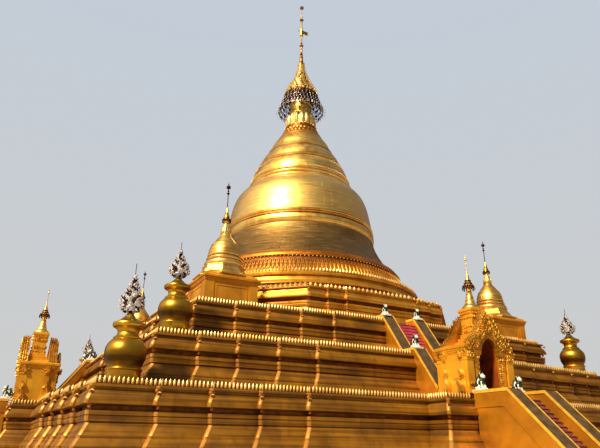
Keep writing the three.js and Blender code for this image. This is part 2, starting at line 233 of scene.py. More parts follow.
make_floor()
make_light("key_light", SUN_AZIMUTH, SUN_HEIGHT, 6.8, "#FFF0D4", 6)
make_light("rear_light", math.radians(120), math.radians(22), 0.5, "#FFF4E4", 60)
make_sky()
bpy.context.scene.view_settings.view_transform = "Standard"
print("floor, two lights and a sky")

# %% [markdown]
# ## Gold on plaster
#
# The terraces are lime plaster, brushed with lacquer and then with gold paint or leaf. Gold leaf
# is metal, so it is metallic all through, but the plaster under it is uneven and the weather
# dulls it, so the shine is broad rather than mirror-like. Four things are seen from the ground:
# cloudy patches of deeper colour, thin streaks where rain runs down, a slightly wavy skin, and
# fine level lines where the plasterer's courses meet. The pots also get a dark band low on the
# belly, which is a painted reflection of the dark, shaded ground that their lower half mirrors.
# Each finish is named by its three tones: bright, deep and tarnished.

# %% Gilded plaster
POLISH_ROUGHNESS = 0.16


def gilded(name, tones, rough, wave_mm, streaks, metal, courses=0.0, polish=0.0, shade_band=None):
    """Weathered gilding: cloudy patches, rain streaks, a wavy skin, course lines and a polish."""
    bright, deep, tarnish = tones
    material, tree, place = new_material(name)
    clouds = ramp(tree, grain(tree, place, 900, detail=5), 0.35, 0.68)
    colour = blend_of(tree, clouds, bright, deep)
    runs = ramp(tree, grain(tree, place, 160, (1, 1, 0.08), 6), 0.52, 0.72, 0, streaks)
    colour = blend_of(tree, runs, colour, tarnish)
    # A dark band low on the belly is a painted reflection: it stands for the dark, shaded ground that the
    # lower belly mirrors.
    if shade_band:
        level = add(tree, "ShaderNodeSeparateXYZ", {}, {"Vector": place}).outputs["Z"]
        foot, head = shade_band[0] * MODEL_SCALE, shade_band[1] * MODEL_SCALE
        rising = ramp(tree, level, foot, foot * 0.6 + head * 0.4)
        falling = ramp(tree, level, foot * 0.4 + head * 0.6, head, 1, 0)
        both = add(tree, "ShaderNodeMath", {"operation": "MULTIPLY"}, {0: rising, 1: falling})
        colour = blend_of(tree, both.outputs["Value"], colour, tarnish)
    shine = ramp(tree, grain(tree, place, 320, detail=6), 0.3, 0.7, rough - 0.07, rough + 0.1)
    skin = relief(tree, grain(tree, place, 420, detail=3), wave_mm)
    skin = relief(tree, grain(tree, place, 40, detail=4), 1.2, skin)
    if courses:
        levels = grain(tree, place, 75, (0.012, 0.012, 1), 3)
        colour = blend_of(tree, ramp(tree, levels, 0.48, 0.6, 0, courses), colour, tarnish)
        skin = relief(tree, levels, 14, skin)
    return surfaced(material, {
        "Base Color": colour, "Metallic": metal, "Roughness": shine, "Normal": skin,
        "Coat Weight": polish, "Coat Roughness": POLISH_ROUGHNESS,
    })


# %% The kinds of gilding
TERRACE_GOLD = gilded("gold paint brushed on lime plaster", ("#A8700E", "#764A0A", "#46280A"),
                      0.45, 4, 0.35, 0.5, courses=0.55)
UPPER_GOLD = gilded("newer gold leaf on the upper terraces", ("#E6A632", "#C47E18", "#7C4812"),
                    0.36, 3, 0.3, 0.7, courses=0.5)
RIM_GOLD = gilded("gold leaf on cast plaster leaves", ("#F6D488", "#DCAA50", "#8E6426"), 0.38, 2, 0.25, 0.75)
TURNED_GOLD = gilded("gold leaf on smooth turned plaster", ("#FAD070", "#E4A83E", "#8E5E20"),
                     0.4, 3, 0.3, 1.0, courses=0.3, polish=0.5)
POT_TONES = ("#CC9C30", "#98701C", "#4E3410")
POT_GOLDS = {
    tier: gilded(f"gold paint on thrown pots, {tier} row", POT_TONES, 0.34, 2, 0.2, 0.95,
                 shade_band=(foot + 0.95, foot + 1.9))
    for tier, foot in (("low", FLOOR_1), ("high", FLOOR_2))
}
SHRINE_GOLD = gilded("gold paint on smooth shrine walls", ("#E29C22", "#BC7A16", "#6E4410"),
                     0.4, 4, 0.3, 0.45)
GATE_GOLD = gilded("bright gold paint on the gateways", ("#F4B22C", "#D08E1C", "#7A4E12"), 0.38, 4, 0.3, 0.5)
FOOT_GOLD = gilded("reddish gilding on the bell's foot", ("#CC7A1E", "#A4560E", "#6A320A"),
                   0.4, 3, 0.3, 0.85, courses=0.3)
SCROLL_GOLD = gilded("rubbed gilding on modelled scrolls", ("#F0BC4C", "#B07A20", "#4E3010"),
                     0.36, 2, 0.5, 0.8)
# A painted highlight: paler gilding for the rounded outer corners, where the sun catches them.
CORNER_HIGHLIGHT_GOLD = gilded("paler gilding as painted highlight on edges", ("#D09442", "#AA7028", "#6E4418"), 0.46, 2, 0.4, 0.6)
# Painted shade: a dark gilding for the thin rings laid in the grooves of turned pieces.
GROOVE_SHADE_GOLD = gilded("gilding darkened as painted shade in grooves", ("#9A681C", "#6A4210", "#30200C"),
                   0.5, 3, 0.5, 0.6)
print("eleven kinds of gilding")

# %% [markdown]
# ## Gold plates on the bell
#
# The lower bell is clad with rows of thin gold plates, each nailed over the row below. From the
# ground the rows read as fine level lines and the joints as short upright ones. A brick pattern
# draws both, once the surface is unrolled: the angle round the axis, times the mean radius, runs
# along the rows. The pattern's sizes are those of the half-size model.

# %% Plated gold
PLATE_MEAN_RADIUS = 4.1
JOINT_MM = 6


def unrolled(tree, place, radius):
    """Coordinates on a turned piece: along its girth, up its height, both in metres."""
    split = add(tree, "ShaderNodeSeparateXYZ", {}, {"Vector": place}).outputs
    angle = add(tree, "ShaderNodeMath", {"operation": "ARCTAN2"},
                {0: split["X"], 1: split["Y"]}).outputs["Value"]
    girth = add(tree, "ShaderNodeMath", {"operation": "MULTIPLY"}, {0: angle, 1: radius}).outputs["Value"]
    return add(tree, "ShaderNodeCombineXYZ", {}, {"X": girth, "Y": split["Z"]}).outputs["Vector"]


def plated(name, tones, rough, plate_mm, row_mm, polish):
    """Rows of gold plates with thin dark joints, brushed along the rows."""
    bright, deep, seam = tones
    material, tree, place = new_material(name)
    flat = unrolled(tree, place, PLATE_MEAN_RADIUS)
    plates = add(tree, "ShaderNodeTexBrick", {}, {
        "Vector": flat, "Scale": 1.0, "Brick Width": plate_mm / 1000, "Row Height": row_mm / 1000,
        "Mortar Size": JOINT_MM / 1000, "Mortar Smooth": 0.4, "Color1": paint(bright),
        "Color2": paint(deep), "Mortar": paint(seam), "Bias": 0.0,
    })
    brushed = ramp(tree, grain(tree, flat, 90, (0.06, 1, 1), 6), 0.4, 0.65)
    colour = blend_of(tree, brushed, plates.outputs["Color"], deep)
    worn = ramp(tree, grain(tree, place, 1500), 0.5, 0.75, 0, 0.35)
    colour = blend_of(tree, worn, colour, seam)
    shine = ramp(tree, grain(tree, flat, 60, (0.05, 1, 1), 5), 0.3, 0.7, rough - 0.06, rough + 0.1)
    lines = relief(tree, plates.outputs["Fac"], -3)
    lines = relief(tree, grain(tree, flat, 60, (0.05, 1, 1), 3), 2.5, lines)
    return surfaced(material, {
        "Base Color": colour, "Metallic": 1.0, "Roughness": shine, "Normal": lines,
        "Coat Weight": polish, "Coat Roughness": POLISH_ROUGHNESS,
    })


PLATE_GOLD = plated("gold plates nailed in rows", ("#C8A05C", "#967238", "#483418"), 0.42, 420, 75, 0.2)
BELL_GOLD = plated("gold leaf on the bell's shoulder", ("#F6D078", "#E2B254", "#9A7438"), 0.42, 900, 105, 0.7)
print("two kinds of plates")

# %% [markdown]
# ## Metals
#
# The crown and the vane are gilded sheet copper. Hammering leaves small dents. The open ironwork
# of the skirt is dark brown, partly browned iron and partly painted shade for a net seen against
# the light, while the mast's gilding has darkened in patches. The flowers in the pots and the
# small bells are cut from plain sheet, which stays silvery.

# %% Sheet metals
def hammered(name, bright, deep, rough, dent_mm=30, metal=1.0):
    """Thin beaten metal with small dents and darker patches."""
    material, tree, place = new_material(name)
    dents = grain(tree, place, dent_mm, detail=2)
    colour = blend_of(tree, ramp(tree, grain(tree, place, 120, detail=5), 0.42, 0.64), bright, deep)
    return surfaced(material, {
        "Base Color": colour, "Metallic": metal, "Normal": relief(tree, dents, 1.0),
        "Roughness": ramp(tree, dents, 0.3, 0.7, rough - 0.05, rough + 0.12),
    })


CROWN_GOLD = hammered("gilded beaten copper", "#E8B44A", "#94601E", 0.28)
MAST_METAL = hammered("darkened gilding on the mast", "#B88444", "#3A2618", 0.4)
# Dark brown for the iron skirt and other dark metal; it also paints the shade inside the crown and on the
# skirt seen against the light.
DARK_IRON_AND_SHADE = hammered("browned iron filigree and painted shade", "#5E3B30", "#2A1A1C", 0.45)
SHEET_SILVER = hammered("cut sheet metal, silver grey", "#F2EEEC", "#B4AEB0", 0.34, 45, metal=0.6)
print("four sheet metals")

# %% [markdown]
# ## Paint, cement and carpet
#
# The stairs are plain plaster in orange gold. Their rails carry a cement coping between two
# yellow lines, and a red runner lies on the steps. Gold paint is full of metal flakes, so it
# counts as metal in part; cement, ochre and carpet don't. Each gets its own small unevenness:
# trowel waves in plaster, sand in cement, pile and wear in carpet.

# %% Painted and woven surfaces
def coated(name, light, dark, rough, patch_mm, bump_mm, fine_mm=12, metal=0.0, gloss=0.5):
    """A matt surface of two close tones, with broad waves and a fine grain."""
    material, tree, place = new_material(name)
    colour = blend_of(tree, ramp(tree, grain(tree, place, patch_mm, detail=6), 0.35, 0.68), light, dark)
    skin = relief(tree, grain(tree, place, patch_mm, detail=3), bump_mm)
    skin = relief(tree, grain(tree, place, fine_mm, detail=3), bump_mm * 0.3, skin)
    return surfaced(material, {
        "Base Color": colour, "Metallic": metal, "Normal": skin, "Specular IOR Level": gloss,
        "Roughness": ramp(tree, grain(tree, place, patch_mm / 3), 0.3, 0.7, rough - 0.08, rough + 0.08),
    })


STAIR_PAINT = coated("orange gold paint on trowelled plaster", "#BC7812", "#90560A", 0.4, 700, 3, metal=0.4)
PASSAGE_PAINT = coated("red ochre paint in the passage", "#A04A0C", "#5E2A06", 0.65, 500, 3, gloss=0.15)
COPING_CEMENT = coated("grey cement coping", "#5E4A32", "#423220", 0.8, 220, 2, gloss=0.15)
LINE_PAINT = coated("yellow line paint", "#F0BE3A", "#D9982A", 0.45, 150, 1, metal=0.3)
# Painted shade: a dark brown for the grooves under the cornices, the parapet fields behind the leaves and the
# lotus collar; under the leaf ring it is lacquer and painted shade in one.
SHADE_LACQUER = coated("brown lacquer and painted shade in the grooves", "#8E5420", "#5E3312", 0.5, 150, 2, metal=0.8)
LION_WHITE = coated("white paint on cast lions", "#EFEDE2", "#C9C4B2", 0.45, 60, 1, 8)
LION_GREEN = coated("bottle green paint on manes", "#1C3024", "#0C1410", 0.4, 50, 1, 8)

CARPET_WAVES_PER_METRE = 1000 / 14 / 6.28


def woven(name, light, dark):
    """A ribbed carpet runner with patches of wear and a fine pile."""
    material, tree, place = new_material(name)
    colour = blend_of(tree, ramp(tree, grain(tree, place, 260, detail=6), 0.35, 0.7), light, dark)
    inputs = {"Vector": place, "Scale": CARPET_WAVES_PER_METRE, "Distortion": 0.6, "Detail": 2.0}
    ribs = add(tree, "ShaderNodeTexWave", {"bands_direction": "Z"}, inputs).outputs["Fac"]
    skin = relief(tree, grain(tree, place, 9, detail=2), 2, relief(tree, ribs, 3))
    return surfaced(material, {"Base Color": colour, "Roughness": 0.92, "Sheen Weight": 0.3, "Normal": skin})


# The first runner is darker as painted shade: the lower runner lies in shadow between its rails.
SHADED_RED_CARPET = woven("red ribbed carpet", "#8E2420", "#5C1618")
ROSE_CARPET = woven("rose red ribbed carpet", "#D0405A", "#A02840")
print("paint, cement, lacquer and carpet")

# %% [markdown]
# ## Finishing a piece
#
# Every piece is modelled in a bmesh, Blender's editable mesh, in real metres. When it is done,
# its loose doubles are merged, its faces are turned outwards, sharp corners are marked so that
# they stay crisp under smooth shading, and it is scaled to the model. Then it becomes an object
# that rides with the masonry or turns with the vane. The main piece of each part also stands for
# the plain solid of that part.

# %% Piece helper
SHARP_CORNER = math.radians(28)


def finish_mesh(bm, name, merge=True):
    """Cleans a bmesh, scales it to the model, and returns it as a mesh."""
    if merge:
        bmesh.ops.remove_doubles(bm, verts=bm.verts, dist=1e-4)
        bmesh.ops.recalc_face_normals(bm, faces=bm.faces)
    bmesh.ops.scale(bm, vec=(MODEL_SCALE,) * 3, verts=bm.verts)
    for face in bm.faces:
        face.smooth = True
    for edge in bm.edges:
        edge.smooth = len(edge.link_faces) == 2 and edge.calc_face_angle(math.pi) < SHARP_CORNER
    mesh = bpy.data.meshes.new(name)
    bm.to_mesh(mesh)
    bm.free()
    return mesh


def show(name, mesh, finish, node=None, body=MASONRY):
    """Makes a piece of a mesh, gives it its finish, and lets it ride on a body."""
    mesh.materials.clear()
    mesh.materials.append(finish)
    piece = bpy.data.objects.new(name, mesh)
    bpy.context.scene.collection.objects.link(piece)
    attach(piece, body)
    if node:
        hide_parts(node)
    return piece


def piece_of(name, bm, finish, node=None, body=MASONRY, merge=True):
    """Finishes a bmesh and shows it as one piece."""
    piece = show(name, finish_mesh(bm, name, merge), finish, node, body)
    print(name, len(piece.data.polygons), "faces")
    return piece


def copies_of(name, bm, moves, finish, slot, node=None, merge=True):
    """One piece for each named move, which all repeat the same shape."""
    source = finish_mesh(bm, name, merge)
    for where, move in moves.items():
        mesh = source.copy()
        mesh.transform(move)
        mesh.name = f"{name}_{where}"
        show(mesh.name, mesh, finish, f"{node}_{where}" if node else None)
    print(name, "x", len(moves), len(source.polygons), "faces each")
    bpy.data.meshes.remove(source)


QUARTERS = {where: Matrix.Rotation(i * math.pi / 2, 4, "Z") for i, where in enumerate(FRONTS)}


def corner_moves(distance):
    """The four places at a distance from the middle along both axes, turned outwards."""
    moves = {}
    for i, (where, (sx, sy)) in enumerate(CORNERS.items()):
        place = Vector((sx * distance, sy * distance, 0)) * MODEL_SCALE
        moves[where] = Matrix.Translation(place) @ Matrix.Rotation(i * math.pi / 2, 4, "Z")
    return moves


# %% [markdown]
# ## Turned shapes
#
# A potter or a plasterer makes a round piece by turning a cut profile round an axis, and the spin
# operator does the same. A profile is a list of radius and height. Between its corners, round
# mouldings are drawn by a sine curve that stands out from the chord.

# %% Turning helpers
def bulge(start, end, height, parts=6):
    """Points of a round moulding from start to end that stands out by height at its middle."""
    (r0, z0), (r1, z1) = start, end
    length = math.hypot(r1 - r0, z1 - z0)
    out_r, out_z = (z1 - z0) / length, -(r1 - r0) / length
    points = []
    for i in range(parts + 1):
        t = i / parts
        rise = height * math.sin(math.pi * t)
        points.append((r0 + (r1 - r0) * t + out_r * rise, z0 + (z1 - z0) * t + out_z * rise))
    return points


def flowing(points, parts=4):
    """A smooth curve through points of radius and height."""
    ends = [points[0], *points, points[-1]]
    curve = []
    for before, start, end, after in zip(ends, ends[1:], ends[2:], ends[3:]):
        for k in range(parts):
            t = k / parts
            curve.append(tuple(
                b + (c - a) * t / 2 + (2 * a - 5 * b + 4 * c - d) * t * t / 2
                + (3 * b - a - 3 * c + d) * t ** 3 / 2
                for a, b, c, d in zip(before, start, end, after)))
    return [*curve, points[-1]]


def turned(profile, steps=96, bm=None):
    """Spins a profile of (radius, height) round the Z axis."""
    bm = bm or bmesh.new()
    corners = [bm.verts.new((r, 0, z)) for r, z in profile]
    edges = [bm.edges.new(pair) for pair in zip(corners, corners[1:])]
    bmesh.ops.spin(bm, geom=corners + edges, cent=(0, 0, 0), axis=(0, 0, 1), angle=math.tau,
                   steps=steps, use_merge=True)
    return bm


def closed(profile):
    """A profile that also runs to the axis at both ends."""
    return [(0, profile[0][1]), *profile, (0, profile[-1][1])]


def flat_ring(bm, inner, outer, low, high, steps):
    """Adds a ring of square section between two radii and two heights."""
    turned([(inner, low), (outer, low), (outer, high), (inner, high), (inner, low)], steps, bm)


# %% [markdown]
# ## Blocks, slabs and copies
#
# Flat work is cut from boards: an outline is filled and pushed through its thickness. Small
# castings are made once and set many times, which is how the real leaves were made, too.

# %% Cutting helpers
def block(bm, low, high):
    """Adds a box between two corners."""
    size = [b - a for a, b in zip(low, high)]
    middle = [(a + b) / 2 for a, b in zip(low, high)]
    matrix = Matrix.Translation(middle) @ Matrix.Diagonal((*size, 1))
    return bmesh.ops.create_cube(bm, size=1, matrix=matrix)["verts"]


def pushed(bm, corners, way):
    """Fills an outline and pushes it along a way, so that it becomes a slab."""
    face = bm.faces.new([bm.verts.new(c) for c in corners])
    grown = bmesh.ops.extrude_face_region(bm, geom=[face])["geom"]
    moved = [g for g in grown if isinstance(g, bmesh.types.BMVert)]
    bmesh.ops.translate(bm, vec=way, verts=moved)
    return next(g for g in grown if isinstance(g, bmesh.types.BMFace))


def front_slab(bm, outline, near, far):
    """A slab of an outline in X and Z, between two distances in front of the middle."""
    return pushed(bm, [(x, -near, z) for x, z in outline], (0, near - far, 0))


def side_slab(bm, outline, left, right):
    """A slab of an outline in distance from the middle and Z, between two values of X."""
    return pushed(bm, [(left, -d, z) for d, z in outline], (right - left, 0, 0))


def set_copies(bm, source, places):
    """Adds a copy of a small mesh at each place; the faces of mirrored copies are flipped back."""
    for place in places:
        placed = source.copy()
        placed.transform(place)
        if place.determinant() < 0:
            placed.flip_normals()
        bm.from_mesh(placed)
        bpy.data.meshes.remove(placed)
    return bm


def small_mesh(bm, name):
    """A small casting in real metres, ready to be set many times."""
    bmesh.ops.recalc_face_normals(bm, faces=bm.faces)
    mesh = bpy.data.meshes.new(name)
    bm.to_mesh(mesh)
    bm.free()
    return mesh


def add_part(bm, part):
    """Adds another bmesh to a bmesh."""
    mesh = small_mesh(part, "part")
    bm.from_mesh(mesh)
    bpy.data.meshes.remove(mesh)


def carved(body, cutter):
    """Cuts one closed shape out of another."""
    shapes = []
    for bm in (body, cutter):
        shapes.append(bpy.data.objects.new("carving", small_mesh(bm, "carving")))
        bpy.context.scene.collection.objects.link(shapes[-1])
    cut = shapes[0].modifiers.new("cut", "BOOLEAN")
    cut.object, cut.solver = shapes[1], "EXACT"
    result = bmesh.new()
    result.from_mesh(shapes[0].evaluated_get(bpy.context.evaluated_depsgraph_get()).to_mesh())
    for shape in shapes:
        mesh = shape.data
        bpy.data.objects.remove(shape)
        bpy.data.meshes.remove(mesh)
    return result


def rod(bm, start, end, radius, sides=5):
    """A thin bar between two points."""
    start, end = Vector(start), Vector(end)
    along = end - start
    matrix = Matrix.Translation((start + end) / 2) @ along.to_track_quat("Z", "Y").to_matrix().to_4x4()
    bmesh.ops.create_cone(bm, cap_ends=True, segments=sides, radius1=radius, radius2=radius,
                          depth=along.length, matrix=matrix)


def round_mass(bm, middle, radii, lean=0.0, detail=2):
    """An egg-shaped mass, leaning forward round the X axis."""
    matrix = Matrix.Translation(middle) @ Matrix.Rotation(lean, 4, "X") @ Matrix.Diagonal((*radii, 1))
    bmesh.ops.create_icosphere(bm, subdivisions=detail, radius=1, matrix=matrix)


print("helpers ready")

# %% [markdown]
# ## The plan of a terrace
#
# Each side of a square terrace steps out four times towards the stair in its middle. These
# redents give the corners their stepped look. One side is listed from left to right, mirrored
# about the stair, and turned four times into a closed plan. Walls that move out together need
# their corners moved along mitres, which a joiner would cut at half the angle.

# %% Plans
STEP_OUT = 0.26


def side_of_plan(half, redents, bay=None):
    """The front side of a plan without its corners, from left to right."""
    left, front = [], half
    for x in redents:
        left += [(-x, -front), (-x, -front - STEP_OUT)]
        front += STEP_OUT
    if bay:
        left += [(-bay[0], -front), (-bay[0], -bay[1])]
    return left + [(-x, y) for x, y in reversed(left)]


def four_sides(side):
    """Turns one side by quarters into a closed plan."""
    plan = list(side)
    for _ in range(3):
        plan += [(-y, x) for x, y in plan[-len(side):]]
    return plan


def square_plan(half, forward=0.0):
    """A plain square plan, whose middle lies forward of the stupa's axis."""
    return [(x, y - forward) for x, y in ((-half, -half), (half, -half), (half, half), (-half, half))]


def mitres(plan):
    """How far each corner moves when all the walls move out by one metre."""
    away = []
    for i, corner in enumerate(plan):
        before, after = plan[i - 1], plan[(i + 1) % len(plan)]
        a = (Vector(corner) - Vector(before)).normalized()
        b = (Vector(after) - Vector(corner)).normalized()
        away.append(((a.y + b.y) / (1 + a.dot(b)), -(a.x + b.x) / (1 + a.dot(b))))
    return away


def moved_out(plan, out):
    """The plan with all its walls moved out."""
    return [(x + mx * out, y + my * out) for (x, y), (mx, my) in zip(plan, mitres(plan))]


def round_corner(plan, i, cut, out=0.0):
    """The points of a rounded outer corner and its centre, or just the corner where it is an inner one."""
    here = Vector(plan[i])
    a = (here - Vector(plan[i - 1])).normalized()
    b = (Vector(plan[(i + 1) % len(plan)]) - here).normalized()
    if a.cross(b) < 0.5:
        return [here], None
    centre = here - a * cut + b * cut
    reach = cut + out
    turns = [k * math.pi / 6 for k in range(4)]
    return [centre - b * reach * math.cos(turn) + a * reach * math.sin(turn) for turn in turns], centre


def softened(plan, cut):
    """Rounds the outer corners of a plan; each new point still moves along its corner's mitre."""
    points, ways = [], []
    for i, way in enumerate(mitres(plan)):
        arc, centre = round_corner(plan, i, cut)
        points += arc
        ways += [way] * len(arc)
    return points, ways


SQUARE_1 = four_sides([(-22.95, -22.95), *side_of_plan(22.95, (19.87, 17.26, 14.66, 11.97), (3.8, 25.7))])
SQUARE_2 = four_sides([(-19.46, -19.46), *side_of_plan(19.46, (16.93, 14.56, 11.98, 9.41))])
SQUARE_3 = four_sides([(-16.33, -16.33), *side_of_plan(16.33, (13.52, 11.22, 8.77, 6.22))])
OCTAGON = four_sides([(-6.65, -14), *side_of_plan(14, (4.85, 3.26)), (6.65, -14)])
print([len(plan) for plan in (SQUARE_1, SQUARE_2, SQUARE_3, OCTAGON)], "corners in the plans")

# %% [markdown]
# ## Courses of moulding
#
# On the building site, each course of brick stands out or back by a template's measure, and the
# plasterer runs the curves between. Here the plan's edge loop is extruded up once for each point
# of the template, and every new loop is moved out along the mitres. The outer corners are rounded
# a little, as plaster corners are, because a round edge catches the sun in a bright line.

# %% Courses
CORNICE_TEMPLATE = (
    (0.85, 3.3), (0.85, 3.02), (0.81, 2.99), (0.81, 2.95), (0.85, 2.92), (0.85, 2.74), (0.8, 2.68),
    (0.66, 2.44), (0.62, 2.4), (0.62, 2.28), (0.56, 2.26), (0.54, 2.2), (0.42, 2.0), (0.3, 1.78),
    (0.26, 1.7), (0.33, 1.66), (0.34, 1.6), (0.35, 1.44), (0.31, 1.43), (0.31, 1.4), (0.36, 1.38),
    (0.36, 1.2), (0.1, 1.17), (0.06, 1.14), (0.06, 0.98), (0.12, 0.93), (0.48, 0.9), (0.49, 0.86),
    (0.49, 0.78), (0.45, 0.77), (0.45, 0.68), (0.38, 0.5), (0.35, 0.45), (0.32, 0.44), (0.28, 0.34),
    (0.25, 0.26), (0.22, 0.24), (0.22, 0.15), (0.35, 0.13), (0.36, 0.1), (0.36, 0.03), (0.33, 0.0),
)
CORNER_CUT = 0.15
CORNICE_RISE = 0.08
PARAPET = 0.3
SLOT_HALF, FAR_OUT = 1.98, 40
LEVELS = {
    "terrace_1": (SQUARE_1, 0, FLOOR_1, 4.55), "terrace_2": (SQUARE_2, FLOOR_1, FLOOR_2, 7.82),
    "terrace_3": (SQUARE_3, FLOOR_2, FLOOR_3, 10.74), "octagon": (OCTAGON, FLOOR_3, FLOOR_4, 13.65),
}


def raised(plan, courses, cut=0.0, away=None):
    """Carries a closed plan up through courses of stand-out and height."""
    bm = bmesh.new()
    points, away = softened(plan, cut) if cut else (plan, away or mitres(plan))

    def spot(i, out, height):
        return Vector((points[i][0] + away[i][0] * out, points[i][1] + away[i][1] * out, height))

    ring = [bm.verts.new(spot(i, *courses[0])) for i in range(len(points))]
    bm.faces.new(ring)
    for out, height in courses[1:]:
        edges = [bm.edges.get((ring[i - 1], ring[i])) for i in range(len(ring))]
        grown = bmesh.ops.extrude_edge_only(bm, edges=edges)["geom"]
        fresh = {g for g in grown if isinstance(g, bmesh.types.BMVert)}
        ring = [next(e.other_vert(v) for e in v.link_edges if e.other_vert(v) in fresh) for v in ring]
        for i, corner in enumerate(ring):
            corner.co = spot(i, out, height)
    bm.faces.new(ring)
    bmesh.ops.recalc_face_normals(bm, faces=bm.faces)
    return bm


def courses_of(base, floor, top, foot=0.85):
    """The courses of a terrace from its base, up its mouldings, over its parapet to its floor."""
    cornice = floor + CORNICE_RISE
    rising = [(out, cornice - depth) for out, depth in CORNICE_TEMPLATE if cornice - depth > base + 0.3]
    wall = [(0.03, cornice), (0.03, cornice + 0.05), (0, cornice + 0.06), (0, top - 0.05), (-0.05, top)]
    inner = [(0.05 - PARAPET, top), (-PARAPET, top - 0.05), (-PARAPET, floor)]
    return [(foot, base), (foot, base + 0.2), *rising, *wall, *inner]


def stair_slots(start):
    """Four tall boxes that clear the way for the stairs, from a distance outwards."""
    bm = bmesh.new()
    for where in FRONTS:
        box = block(bm, (-SLOT_HALF, -FAR_OUT, -1), (SLOT_HALF, -start, FAR_OUT))
        bmesh.ops.rotate(bm, cent=(0, 0, 0), matrix=QUARTERS[where].to_3x3(), verts=box)
    return bm


for name, start, foot in (("terrace_1", 25.3, 1.05), ("terrace_2", 19.8, 0.85), ("terrace_3", 16.4, 0.85)):
    plan, *levels = LEVELS[name]
    walls = carved(raised(plan, courses_of(*levels, foot), CORNER_CUT), stair_slots(start))
    piece_of(f"{name}_walls", walls, TERRACE_GOLD, name)
plan, *levels = LEVELS["octagon"]
octagon = raised(plan, courses_of(*levels), CORNER_CUT)
piece_of("octagon_walls", octagon, UPPER_GOLD, "octagon_terrace")

# %% [markdown]
# ## Painted shade and painted highlights
#
# The groove under each cornice and the field of each parapet get a dark brown skin of painted
# shade, so that the leaves in front of them stand out. The rounded outer corners get a paler
# gilding as a painted highlight. Both are thin skins over the walls: the same courses, a few
# millimetres further out.

# %% Groove shade and corner highlights
NEAR_STAIR = 2.2
grooves, corners = bmesh.new(), bmesh.new()
for plan, base, floor, top in LEVELS.values():
    cornice = floor + CORNICE_RISE
    # Dark skins of painted shade: in the groove under the cornice, and on the parapet field.
    for out, low, high in ((0.085, cornice - 1.165, cornice - 0.98), (0.012, cornice + 0.07, top - 0.07)):
        add_part(grooves, raised(plan, [(out - 0.2, low), (out, low), (out, high), (out - 0.2, high)]))
    # Paler skins on the rounded outer corners: a painted highlight.
    for i, way in enumerate(mitres(plan)):
        arc, centre = round_corner(plan, i, CORNER_CUT, 0.008)
        if centre and min(abs(centre.x), abs(centre.y)) > NEAR_STAIR:
            rising = [course for course in courses_of(base, floor, top) if course[1] < cornice + 0.01]
            add_part(corners, raised([*arc, centre], rising, away=[way] * 5))
piece_of("groove_shade", carved(grooves, stair_slots(16.4)), SHADE_LACQUER)
piece_of("corner_highlights", corners, CORNER_HIGHLIGHT_GOLD, merge=False)

# %% [markdown]
# ## The round terrace
#
# The fifth terrace is a drum, so its template is turned instead of mitred. All large round work
# is turned in the same number of steps, so that its edges run through from piece to piece.

# %% Round terrace
DRUM_RADIUS = 12.36
ROUND_STEPS = 144
DRUM_TEMPLATE = (
    (0.5, 13.3), (0.5, 13.66), *bulge((0.44, 13.7), (0.3, 13.94), 0.05), (0.2, 13.96), (0.2, 14.04),
    *bulge((0.28, 14.06), (0.28, 14.3), 0.07), (0.16, 14.33), (0.1, 14.46), (0.34, 14.5), (0.34, 14.6),
    *bulge((0.3, 14.64), (0.12, 15.1), -0.05), (0.06, 15.14), (0.06, 15.22), (0.24, 15.26), (0.26, 15.46),
    (0.22, 15.5), (0.02, 15.56), (0, 15.8), (-0.05, 15.84), (-0.25, 15.84), (-0.3, 15.8), (-0.3, 15.5),
)
drum = turned(closed([(DRUM_RADIUS + out, z) for out, z in DRUM_TEMPLATE]), ROUND_STEPS)
piece_of("round_terrace_walls", drum, UPPER_GOLD, "round_terrace")

# %% [markdown]
# ## Leaves on the parapets
#
# Every parapet carries a row of small cast leaves with a ridge down the middle. The sun catches
# one slope of each ridge, so that from below the row reads as a chain of bright strokes. One leaf
# is an outline that is pushed to its thickness; then its face is poked, and the new middle corner
# stands out as the ridge. Thousands of copies follow the walls, so one leaf has few faces. The
# octagon and the drum have larger leaves than the square terraces.

# %% One leaf
LEAF_HALF_OUTLINE = ((0.78, 0), (0.9, 0.16), (1, 0.38), (0.86, 0.62), (0.46, 0.84))
LEAF_PITCH, GREAT_PITCH, DRUM_PITCH = 0.215, 0.42, 0.3


def leaf_outline(width, height):
    """The outline of a pointed leaf from its left foot over its tip to its right foot."""
    left = [(-x * width / 2, z * height) for x, z in LEAF_HALF_OUTLINE]
    return [*left, (0, height), *[(-x, z) for x, z in reversed(left)]]


def cut_plate(outline, thickness):
    """A plate that faces the front, cut to an outline in X and Z, and its front face."""
    bm = bmesh.new()
    face = pushed(bm, [(x, 0, z) for x, z in outline], (0, -thickness, 0))
    bmesh.ops.recalc_face_normals(bm, faces=bm.faces)
    return bm, face


def leaf_plate(width, height, thickness, rim=0.15, hollow=0.55):
    """A pointed leaf that stands on the origin and faces the front: a rim round a sunk field."""
    bm, face = cut_plate(leaf_outline(width, height), thickness)
    bmesh.ops.inset_region(bm, faces=[face], thickness=rim * width, depth=-hollow * thickness,
                           use_even_offset=True)
    return bm


def ridged_leaf(width, height, thickness, ridge):
    """A pointed leaf whose face rises to a ridge in the middle."""
    outline = [(-0.36, 0), (-0.5, 0.3), (-0.36, 0.68), (0, 1), (0.36, 0.68), (0.5, 0.3), (0.36, 0)]
    bm, face = cut_plate([(x * width, z * height) for x, z in outline], thickness)
    bmesh.ops.poke(bm, faces=[face], offset=ridge)
    return bm


LEAF = small_mesh(ridged_leaf(0.14, 0.33, 0.05, 0.06), "parapet_leaf")
GREAT_LEAF = small_mesh(ridged_leaf(0.28, 0.38, 0.06, 0.1), "octagon_leaf")
DRUM_LEAF = small_mesh(ridged_leaf(0.22, 0.3, 0.06, 0.08), "drum_leaf")
print("one leaf has", len(LEAF.polygons), "faces")

# %% Rows of leaves
STAIR_GAP = 2.02
HUNG = Matrix.Rotation(math.pi, 4, "Y")


